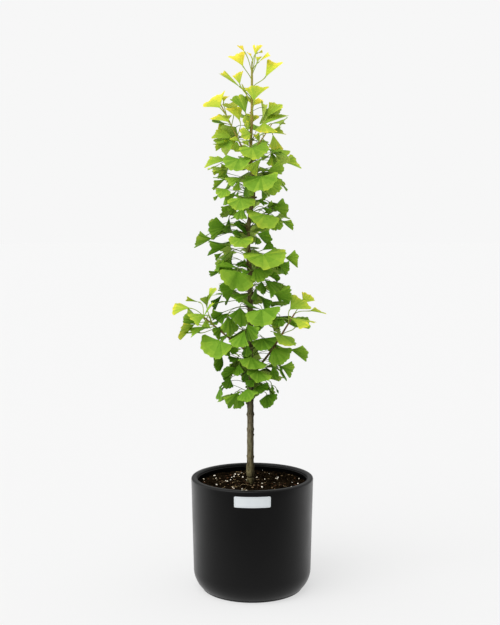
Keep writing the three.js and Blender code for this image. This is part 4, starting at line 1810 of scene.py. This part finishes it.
    def build(self, habits: list[Habit], stems: StemTool) -> None:
        """Grows all the masses, and makes their pieces and those of the stalks and spurs.

        Args:
            habits: the habits of all masses.
            stems: the tool that makes stems.
        """
        tints = LeafTints()
        for habit in habits:
            for i, lead in enumerate(habit.leads):
                self.add(self.lead_leaf(lead, habit, habit.seed * 1000 + i), habit.node)
        self.view.keep_outline()
        for habit in habits:
            self.fill(habit)
        for habit in habits:
            name = habit.node.replace("foliage", "leaves")
            add_piece(name, leaf_mesh(name, self.leaves[habit.node], tints), habit.slot, habit.node)
        finishes = {"leaf": PETIOLE_FINISH, YOUNG: YOUNG_PETIOLE_FINISH}
        for slot, stalks in self.stalks.items():
            name = f"{slot}_stalks"
            material = finishes[slot].material()
            mesh = stems.make(name, stalks, material, sides=6, relief_size=1.0, stretch=1.0)
            add_piece(name, mesh, slot)
        shoots = [spur.stem() for spur in self.spurs] + self.twigs
        relief = {"sides": 10, "relief": 0.5, "relief_size": 1.6 * MM, "stretch": 1.0, "seed": 4.0}
        add_piece("spurs", stems.make("spurs", shoots, BARK_FINISH.material(), **relief), "twig")


def all_habits() -> list[Habit]:
    """Returns how each mass of leaves grows: the whorls from the lowest up, the tuft and the sprays.

    Returns:
        The habits, in the order in which the masses are grown.
    """
    result = []
    for i, fillers in enumerate((24, 26, 26, 26, 26, 26, 26, 24, 13, 5)):
        age = i / 9
        rule = {
            "lift": (-75 + 35 * age, -10 + 45 * age),
            "length": (32 - 2 * age, 41 - 5 * age),
            "tint": (0.3 + 0.3 * age**2, 0.56 + 0.17 * age),
            "ages": (0.23 + 0.5 * age**3, 0.52 + 0.28 * age**2),
        }
        result.append(Habit(f"foliage_whorl_{i + 1}", "leaf", 41 + i, fillers, **rule))
    rule = {"lift": (30, 65), "length": (18, 28), "tint": (0.7, 0.95), "ages": (0.7, 0.92)}
    result.append(Habit("foliage_leader_tuft", YOUNG, 61, 2, distances=(20, 120), spurs=6, **rule))
    low = {"fillers": 3, "ages": (0.42, 0.78), "distances": (60, 150)}
    high = {"fillers": 1, "ages": (0.7, 0.9), "distances": (40, 120)}
    rule = {"lift": (-30, 50), "length": (24, 34), "tint": (0.4, 0.7), "spurs": 4}
    sprays = (("lower_left", low), ("lower_right", low), ("upper_left", high), ("upper_right", high))
    for i, (side, own) in enumerate(sprays):
        result.append(Habit(f"foliage_spray_{side}", YOUNG, 71 + i, bough=f"bough_{side}", **rule, **own))
    return result


# ---------------------------------------------------------------- trunk and boughs


@dataclass(frozen=True)
class Trunk:
    """The trunk's bark, round the axis and the radii of its CAD limb.

    A swell is told by its height, how much it adds to the radius and its length, and a knot by its
    height and its bearing in degrees.
    """

    rings: int = 330
    sides: int = 26
    relief: float = 0.3
    relief_size: float = 3.2
    stretch: float = 3.5
    knuckle: float = 0.2
    knuckle_length: float = 3.0
    knuckle_reach: float = 12.0
    swells: tuple[Triple, ...] = (
        (375, 1.0, 2.4), (343, 0.5, 3.0), (284, 0.4, 3.0), (264, 0.8, 5.0),
        (251, 0.6, 4.0), (240, -2.2, 1.7), (231, 0.4, 3.0),
    )
    knots: tuple[Pair, ...] = (
        (376, 10), (374, 190), (343, 200), (330, 350), (284, 170), (262, 185), (256, 120), (249, 200),
        (233, 350),
    )
    knot_radius: float = 2.3
    knot_length: float = 1.6
    knot_rise: float = 0.35

    def axis(self) -> Stem:
        """Returns the axis and radii of the CAD trunk, whose rings are level.

        Returns:
            The axis, with its points evenly spread over the CAD rings.
        """
        points = np.array([v.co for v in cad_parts["trunk"].data.vertices]).round(6)
        points = np.unique(points, axis=0)
        rows = []
        for height in np.unique(points[:, 2]):
            ring = points[points[:, 2] == height]
            centre = (ring.min(axis=0) + ring.max(axis=0)) / 2
            rows.append([*centre, np.linalg.norm(ring - centre, axis=1).max()])
        path = smooth_path(np.array(rows), self.rings)
        return Stem(path[:, :3], path[:, 3])

    def swollen(self, stem: Stem, spurs: list[Spur]) -> Stem:
        """Returns the trunk with a knuckle at each spur, and with its swells.

        Args:
            stem: the trunk's axis.
            spurs: all spurs of the tree.

        Returns:
            The swollen trunk.
        """
        radii = stem.radii.copy()
        for spur in spurs:
            gap = (stem.points[:, 2] - spur.root[2]) / (self.knuckle_length * MM)
            near = np.linalg.norm(stem.points - spur.root, axis=1) < self.knuckle_reach * MM
            radii += near * self.knuckle * spur.radius * np.exp(-(gap**2))
        for height, swell, length in self.swells:
            radii += swell * MM * np.exp(-(((stem.points[:, 2] / MM - height) / length) ** 2))
        return Stem(stem.points, radii)

    def knot_spurs(self, stem: Stem) -> list[Spur]:
        """Returns the stubs of old shoots on the bare stem.

        Args:
            stem: the trunk's axis.

        Returns:
            The stubs.
        """
        knots = []
        for height, bearing in self.knots:
            share = stem.share_at_height(height * MM)
            turn = math.radians(bearing)
            out = unit(np.array([math.cos(turn), -abs(math.sin(turn)), self.knot_rise]))
            length = stem.radius_at(share) + self.knot_length * MM
            knots.append(Spur(stem.at(share), out, length, self.knot_radius * MM))
        return knots

    def build(self, stem: Stem, spurs: list[Spur], stems: StemTool) -> None:
        """Makes the trunk's piece.

        Args:
            stem: the trunk's axis.
            spurs: all spurs of the tree.
            stems: the tool that makes stems.
        """
        relief = {"relief": self.relief, "relief_size": self.relief_size * MM, "seed": 1.0}
        relief |= {"sides": self.sides, "stretch": self.stretch}
        mesh = stems.make("trunk_bark", [self.swollen(stem, spurs)], BARK_FINISH.material(), **relief)
        add_piece("trunk_bark", mesh, "bark", "trunk")


@dataclass(frozen=True)
class Bough:
    """A side bough from the trunk's axis, past a bend, to its tip among its leaves.

    start is its height on the trunk. It thickens to a collar there, over a share of its length.
    """

    name: str
    start: float
    bend: Triple
    tip: Triple
    radius: float
    tip_share: float = 0.55
    collar: float = 0.45
    collar_share: float = 0.06
    rings: int = 48
    sides: int = 14
    relief: float = 0.3
    relief_size: float = 2.4
    stretch: float = 1.6

    def stem(self, trunk: Stem) -> Stem:
        """Returns the bough's axis and radii.

        Args:
            trunk: the trunk's axis.

        Returns:
            The bough's axis.
        """
        root = trunk.at(trunk.share_at_height(self.start * MM))
        path = smooth_path(np.array([root, np.array(self.bend) * MM, np.array(self.tip) * MM]), self.rings)
        share = np.linspace(0, 1, self.rings)
        collar = self.collar * np.exp(-((share / self.collar_share) ** 2))
        return Stem(path, self.radius * MM * (1 + (self.tip_share - 1) * share + collar))

    def build(self, stem: Stem, stems: StemTool) -> None:
        """Makes the bough's piece.

        Args:
            stem: the bough's axis.
            stems: the tool that makes stems.
        """
        relief = {"relief": self.relief, "relief_size": self.relief_size * MM, "seed": self.start}
        relief |= {"sides": self.sides, "stretch": self.stretch}
        name = f"{self.name}_bark"
        mesh = stems.make(name, [stem], BOUGH_FINISH.material(), **relief)
        add_piece(name, mesh, "twig", self.name)


BOUGHS = (
    Bough("bough_lower_left", 508, (-49, -14, 540), (-101, -20, 584), 2.6),
    Bough("bough_lower_right", 458, (37, -12, 508), (89, -20, 592), 3.0),
    Bough("bough_upper_left", 900, (-29, -8, 955), (-67, -14, 1030), 2.2),
    Bough("bough_upper_right", 928, (17, -8, 952), (41, -12, 988), 1.9),
)


# ---------------------------------------------------------------- pot, soil and label


def arc(radius: float, height: float, size: float, start: float, end: float, steps: int) -> list[Pair]:
    """Returns radii and heights along an arc, from one angle in degrees to another."""
    angles = np.radians(np.linspace(start, end, steps + 1))
    return [(radius + size * math.cos(angle), height + size * math.sin(angle)) for angle in angles]


def level_ring(radius: float, sides: int) -> Array:
    """Returns evenly spread places of a level ring round the pot's axis, as rows of x and y."""
    turn = np.linspace(0, math.tau, sides, endpoint=False)
    return radius * np.stack([np.cos(turn), np.sin(turn)], axis=1)


@dataclass(frozen=True)
class Pot:
    """The round pot: a wall that widens evenly from a rounded foot to a bullnosed rim.

    foot_edge is told by how far in and how high each point is from the foot's corner, lip by how far
    it stands out into the pot and how high it is from the lip's middle, and inside_bend by how far
    out from the floor's wall and how high it is.
    """

    height: float = 240.0
    rim_radius: float = 131.0
    shoulder_radius: float = 126.4
    shoulder_height: float = 42.0
    turn_radius: float = 52.0
    foot_height: float = 3.0
    wall: float = 13.0
    floor: float = 14.0
    rim_round: float = 4.2
    inside_round: float = 30.0
    foot_edge: tuple[Pair, ...] = ((7.0, 0.0), (2.0, 0.0), (0.6, 0.7))
    lip_drop: float = 7.0
    lip: tuple[Pair, ...] = ((0.0, 1.6), (0.9, 0.7), (0.9, -0.7), (0.1, -1.8))
    inside_bend: Pair = (4.0, 150.0)
    sides: int = 144
    turn_steps: int = 14
    rim_steps: int = 7
    inside_steps: int = 8

    def wall_radius(self, height: float) -> float:
        """Returns the outside radius at a height above the shoulder."""
        share = (height - self.shoulder_height) / (self.height - self.shoulder_height)
        return self.shoulder_radius + (self.rim_radius - self.shoulder_radius) * share

    def profile(self) -> list[Pair]:
        """Returns the wall's outline as radius and height, from under the foot round to the floor.

        Returns:
            The outline's points in millimetres.
        """
        bend = self.shoulder_radius - self.turn_radius
        turn = math.asin((self.shoulder_height - self.foot_height) / self.turn_radius)
        foot = bend + self.turn_radius * math.cos(turn)
        inner, inner_foot = self.rim_radius - self.wall, self.shoulder_radius - self.wall
        rim, lip = self.height - self.rim_round, self.height - self.lip_drop
        points = [(foot - inset, height) for inset, height in self.foot_edge]
        points += arc(bend, self.shoulder_height, self.turn_radius, -math.degrees(turn), 0, self.turn_steps)
        heights = np.linspace(self.shoulder_height, rim, self.turn_steps)[1:-1]
        points += [(self.wall_radius(height), float(height)) for height in heights]
        points += arc(self.rim_radius - self.rim_round, rim, self.rim_round, 0, 90, self.rim_steps)
        points += arc(inner + self.rim_round, rim, self.rim_round, 90, 180, self.rim_steps)
        points += [(inner - out, lip + rise) for out, rise in self.lip]
        points.append((inner_foot + self.inside_bend[0], self.inside_bend[1]))
        size = self.inside_round
        return points + arc(inner_foot - size, self.floor + size, size, 0, -90, self.inside_steps)

    def build(self) -> None:
        """Makes the pot's piece."""
        rings = []
        for radius, height in reversed(self.profile()):
            rings.append(np.insert(level_ring(radius, self.sides), 2, height, axis=1))
        points, faces = closed_body(self.floor * UP, rings, 0 * UP)
        mesh = mesh_from("pot_body", points * MM, faces, 38)
        mesh.materials.append(POT_FINISH.material())
        add_piece("pot_body", mesh, "pot", "pot")


@dataclass(frozen=True)
class Label:
    """A blank plate bent round the front of the wall, with a fine line just inside its edge."""

    width: float = 75.0
    height: float = 22.5
    corner: float = 2.5
    thickness: float = 0.8
    gap: float = 0.35
    centre_height: float = 217.3
    line_inset: float = 2.2
    line_width: float = 0.35
    line_corner: float = 1.2
    line_rise: Pair = (-0.1, 0.05)
    columns: int = 44
    corner_columns: int = 8
    rows: int = 8

    def outline_half(self, across: Array, width: float, height: float, corner: float) -> Array:
        """Returns half the height of a round-cornered plate at places across it."""
        over = np.clip(np.abs(across) - (width / 2 - corner), 0, corner)
        return height / 2 - (corner - np.sqrt(np.maximum(corner**2 - over**2, 0)))

    def columns_at(self, width: float, corner: float) -> Array:
        """Returns places across the plate that crowd where its corners turn.

        Args:
            width: the plate's width.
            corner: the radius of its corners.

        Returns:
            The places in millimetres, from left to right.
        """
        straight = width / 2 - corner
        bend = straight + corner * np.sin(np.radians(np.linspace(0, 88, self.corner_columns)))
        middle = np.linspace(-straight, straight, self.columns - 2 * (self.corner_columns - 1))
        return np.concatenate([-bend[:0:-1], middle, bend[1:]])

    def shell(self, pot: Pot, across: Array, up: Array, out: float) -> Array:
        """Returns places on the plate, which is bent round the wall.

        Args:
            pot: the pot.
            across: places across the plate, in millimetres like up and out.
            up: places up from its middle.
            out: how far out they are from its back.

        Returns:
            The places in metres.
        """
        height = self.centre_height + up
        radius = pot.wall_radius(height) + self.gap + out
        angle = across / pot.wall_radius(self.centre_height)
        return np.stack([radius * np.sin(angle), -radius * np.cos(angle), height], axis=-1) * MM

    def build(self, pot: Pot) -> None:
        """Makes the plate and its line.

        Args:
            pot: the pot.
        """
        across = self.columns_at(self.width, self.corner)
        half = self.outline_half(across, self.width, self.height, self.corner)
        grid_z = half[:, None] * np.linspace(-1, 1, self.rows + 1)
        grid_x = np.broadcast_to(across[:, None], grid_z.shape)
        sides = [self.shell(pot, grid_x, grid_z, out).reshape(-1, 3) for out in (self.thickness, 0.0)]
        mesh = mesh_from("label_plate", np.vstack(sides), sheet_faces(len(across) - 1, self.rows), 40)
        mesh.materials.append(LABEL_FINISH.material())
        add_piece("label_plate", mesh, "label", "label")
        self.build_line(pot)

    def build_line(self, pot: Pot) -> None:
        """Makes the fine raised line inside the plate's edge.

        Args:
            pot: the pot.
        """
        low, high = self.line_rise
        rings = []
        for out, inset in ((low, self.line_width), (high, self.line_width), (high, 0.0), (low, 0.0)):
            width = self.width - 2 * (self.line_inset + inset)
            height = self.height - 2 * (self.line_inset + inset)
            across = self.columns_at(width, self.line_corner)
            half = self.outline_half(across, width, height, self.line_corner)
            x, z = np.concatenate([across, across[::-1]]), np.concatenate([half, -half[::-1]])
            rings.append(self.shell(pot, x, z, self.thickness + out))
        mesh = mesh_from("label_line", np.vstack(rings), ring_faces(4, len(rings[0]), closed=True))
        mesh.materials.append(LINE_FINISH.material())
        add_piece("label_line", mesh, "label")


@dataclass(frozen=True)
class Grit:
    """One kind of grain in the soil, with its sizes in millimetres."""

    name: str
    finish: Finish
    per_square_metre: float
    smallest: float
    largest: float
    flatness: float
    length: float
    raggedness: float
    seed: int


@dataclass(frozen=True)
class Soil:
    """The potting mix: an uneven bed that fills the pot, with crumbs, chips, perlite and straw on it."""

    top: float = 224.0
    bottom: float = 150.0
    edge_gap: float = 0.7
    rings: int = 46
    sides: int = 120
    low_inset: float = 1.5
    crowding: float = 0.8
    mound: float = 1.6
    mound_front: float = 9.0
    mound_spread: float = 2200.0
    relief: float = 1.9
    wave_lengths: Row = (46.0, 23.0, 11.0, 6.0, 3.4)
    waves_each: int = 5
    straws: int = 14
    straw_length: Pair = (7.0, 24.0)
    straw_radius: Pair = (0.22, 0.5)
    straw_places: Pair = (0.2, 0.92)
    straw_bow: float = 0.2
    straw_lift: float = 0.9
    straw_rise: float = 1.2
    kinds: tuple[Grit, ...] = (
        Grit("crumbs", CRUMB_FINISH, 62000.0, 1.2, 3.8, 0.7, 1.2, 1.4, 3),
        Grit("chips", CHIP_FINISH, 1500.0, 1.8, 5.0, 0.6, 1.3, 1.4, 11),
        Grit("rusty_chips", RUST_FINISH, 1200.0, 2.0, 6.5, 0.6, 1.4, 1.6, 17),
        Grit("perlite", PERLITE_FINISH, 850.0, 2.0, 5.6, 1.1, 1.1, 0.9, 23),
    )

    def height_at(self, x: Array, y: Array) -> Array:
        """Returns the bed's height in millimetres at places in millimetres.

        Args:
            x: places to the right.
            y: places to the back.

        Returns:
            The heights.
        """
        rng = np.random.default_rng(9)
        height = self.top + self.mound * np.exp(-(x**2 + (y + self.mound_front) ** 2) / self.mound_spread)
        for size in self.wave_lengths:
            for _ in range(self.waves_each):
                angle, phase = rng.uniform(0, math.tau, 2)
                wave = np.sin((x * math.cos(angle) + y * math.sin(angle)) * math.tau / size + phase)
                height = height + self.relief * wave * size**0.55 / 30
        return height

    def bed(self, pot: Pot) -> tuple[Array, Faces]:
        """Returns the points and faces of the bed, closed below.

        Args:
            pot: the pot.

        Returns:
            The points in millimetres, and the faces.
        """
        radius = pot.wall_radius(self.top) - pot.wall - self.edge_gap
        low = pot.wall_radius(self.bottom) - pot.wall - self.edge_gap - self.low_inset
        rings = []
        for i in range(1, self.rings + 1):
            x, y = level_ring(radius * (i / self.rings) ** self.crowding, self.sides).T
            rings.append(np.stack([x, y, self.height_at(x, y)], axis=1))
        rings.append(np.insert(level_ring(low, self.sides), 2, self.bottom, axis=1))
        middle = self.height_at(np.array(0.0), np.array(0.0)) * UP
        return closed_body(middle, rings, self.bottom * UP)

    def build(self, pot: Pot, grit: GritTool, stems: StemTool) -> None:
        """Makes the bed and everything that lies on it.

        Args:
            pot: the pot.
            grit: the tool that scatters grains.
            stems: the tool that makes stems.
        """
        points, faces = self.bed(pot)
        mesh = mesh_from("soil_bed", points * MM, faces, 60)
        mesh.materials.append(SOIL_FINISH.material())
        add_piece("soil_bed", mesh, "soil", "soil")
        upper = [face for face in faces if min(face) < self.rings * self.sides]
        top = mesh_from("soil top", points * MM, upper)
        for kind in self.kinds:
            sizes = {"smallest": kind.smallest, "largest": kind.largest, "raggedness": kind.raggedness}
            values = {name: size * MM for name, size in sizes.items()}
            values |= {"flatness": kind.flatness, "length": kind.length}
            values |= {"density": kind.per_square_metre, "seed": kind.seed}
            add_piece(kind.name, grit.run(kind.name, top, kind.finish.material(), values), "soil")
        self.build_straw(pot, stems)

    def build_straw(self, pot: Pot, stems: StemTool) -> None:
        """Makes the loose fibres, bent a little and lying on the bed.

        Args:
            pot: the pot.
            stems: the tool that makes stems.
        """
        rng = np.random.default_rng(31)
        straws = []
        for _ in range(self.straws):
            length = rng.uniform(*self.straw_length)
            spot = rng.uniform(*self.straw_places) * (pot.rim_radius - pot.wall - length / 2)
            place, heading = rng.uniform(0, math.tau, 2)
            share = np.linspace(-0.5, 0.5, 7)
            bow = rng.uniform(-self.straw_bow, self.straw_bow) * (0.25 - share**2) * length
            x = spot * math.cos(place) + share * length * math.cos(heading) - bow * math.sin(heading)
            y = spot * math.sin(place) + share * length * math.sin(heading) + bow * math.cos(heading)
            z = self.height_at(x, y) + self.straw_lift + rng.uniform(0, self.straw_rise) * (share + 0.5)
            radii = np.full(7, rng.uniform(*self.straw_radius) * MM)
            straws.append(Stem(np.stack([x, y, z], axis=1) * MM, radii))
        mesh = stems.make("straw", straws, STRAW_FINISH.material(), sides=6, relief_size=1.0, stretch=1.0)
        add_piece("straw", mesh, "soil")


# ---------------------------------------------------------------- studio


@dataclass(frozen=True)
class Studio:
    """A plain pale floor under soft light.

    Each reach is where a light of the surround starts and where it is full, as a share of a bearing.
    """

    backdrop: float = 0.93
    fill_light: float = 0.36
    left_light: float = 1.3
    right_light: float = 0.5
    right_front_share: float = 0.1
    top_light: float = 0.5
    left_reach: Pair = (-0.55, -0.95)
    right_reach: Pair = (0.5, 0.9)
    rear_reach: Pair = (-0.3, 0.3)
    top_reach: Pair = (0.25, 0.85)
    floor_half: float = 90.0
    floor_colour: Colour = (0.3, 0.3, 0.3)
    floor_glow: float = 0.575
    sun_strength: float = 1.6
    sun_softness: float = 55.0
    sun_tilt: Pair = (42.0, -36.0)

    def build_world(self) -> None:
        """Makes the surround: even and pale to look at, and as a light brightest above and at the sides."""
        world = bpy.data.worlds.new("surround")
        bpy.context.scene.world = world
        world.use_nodes = True
        wires = Wiring(world.node_tree)
        bearing = wires.add("ShaderNodeTexCoord").outputs["Generated"]
        parts = wires.add("ShaderNodeSeparateXYZ", {0: bearing}).outputs
        left = wires.remap(parts["X"], *self.left_reach, 0.0, self.left_light)
        rear = wires.remap(parts["Y"], *self.rear_reach, self.right_front_share, 1.0)
        right = wires.remap(parts["X"], *self.right_reach, 0.0, self.right_light)
        right = wires.numbers("MULTIPLY", right, rear)
        top = wires.remap(parts["Z"], *self.top_reach, 0.0, self.top_light)
        sides = wires.numbers("ADD", left, right)
        light = wires.numbers("ADD", sides, wires.numbers("ADD", top, self.fill_light))
        looked_at = wires.add("ShaderNodeLightPath").outputs["Is Camera Ray"]
        strength = wires.between(looked_at, light, self.backdrop)
        sky = wires.add("ShaderNodeBackground", {"Color": opaque(WHITE), "Strength": strength})
        wires.add("ShaderNodeOutputWorld", {"Surface": sky.outputs[0]})

    def build_floor(self) -> None:
        """Makes the floor, which isn't part of the object."""
        half = self.floor_half
        corners = np.array([(-half, -half, 0), (half, -half, 0), (half, half, 0), (-half, half, 0)], float)
        mesh = mesh_from("floor", corners, [(0, 1, 2, 3)])
        paper = PaperFinish("floor paper", self.floor_colour, 0.9, 0.0, self.floor_glow)
        mesh.materials.append(paper.material())
        floor = bpy.data.objects.new("floor", mesh)
        bpy.context.scene.collection.objects.link(floor)

    def build(self) -> None:
        """Makes the world, the floor and the sun."""
        self.build_world()
        self.build_floor()
        data = bpy.data.lights.new("sun", "SUN")
        data.energy = self.sun_strength
        data.angle = math.radians(self.sun_softness)
        sun = bpy.data.objects.new("sun", data)
        sun.rotation_euler = (math.radians(self.sun_tilt[0]), 0.0, math.radians(self.sun_tilt[1]))
        bpy.context.scene.collection.objects.link(sun)
        view = bpy.context.scene.view_settings
        view.view_transform = "Standard"
        view.look = "None"


def main() -> None:
    """Builds the studio and then the object from the pot upwards."""
    logging.basicConfig(level=logging.INFO, format="%(message)s")
    sight = Sight()
    sight.camera()
    Studio().build()
    stems, grit = StemTool(), GritTool()
    pot = Pot()
    pot.build()
    Label().build(pot)
    Soil().build(pot, grit, stems)
    trunk = Trunk()
    axis = trunk.axis()
    boughs = {bough.name: bough.stem(axis) for bough in BOUGHS}
    for bough in BOUGHS:
        bough.build(boughs[bough.name], stems)
    crown = Crown(axis, boughs, sight)
    crown.spurs += trunk.knot_spurs(axis)
    crown.build(all_habits(), stems)
    trunk.build(axis, crown.spurs, stems)


if __name__ == "__main__":
    main()
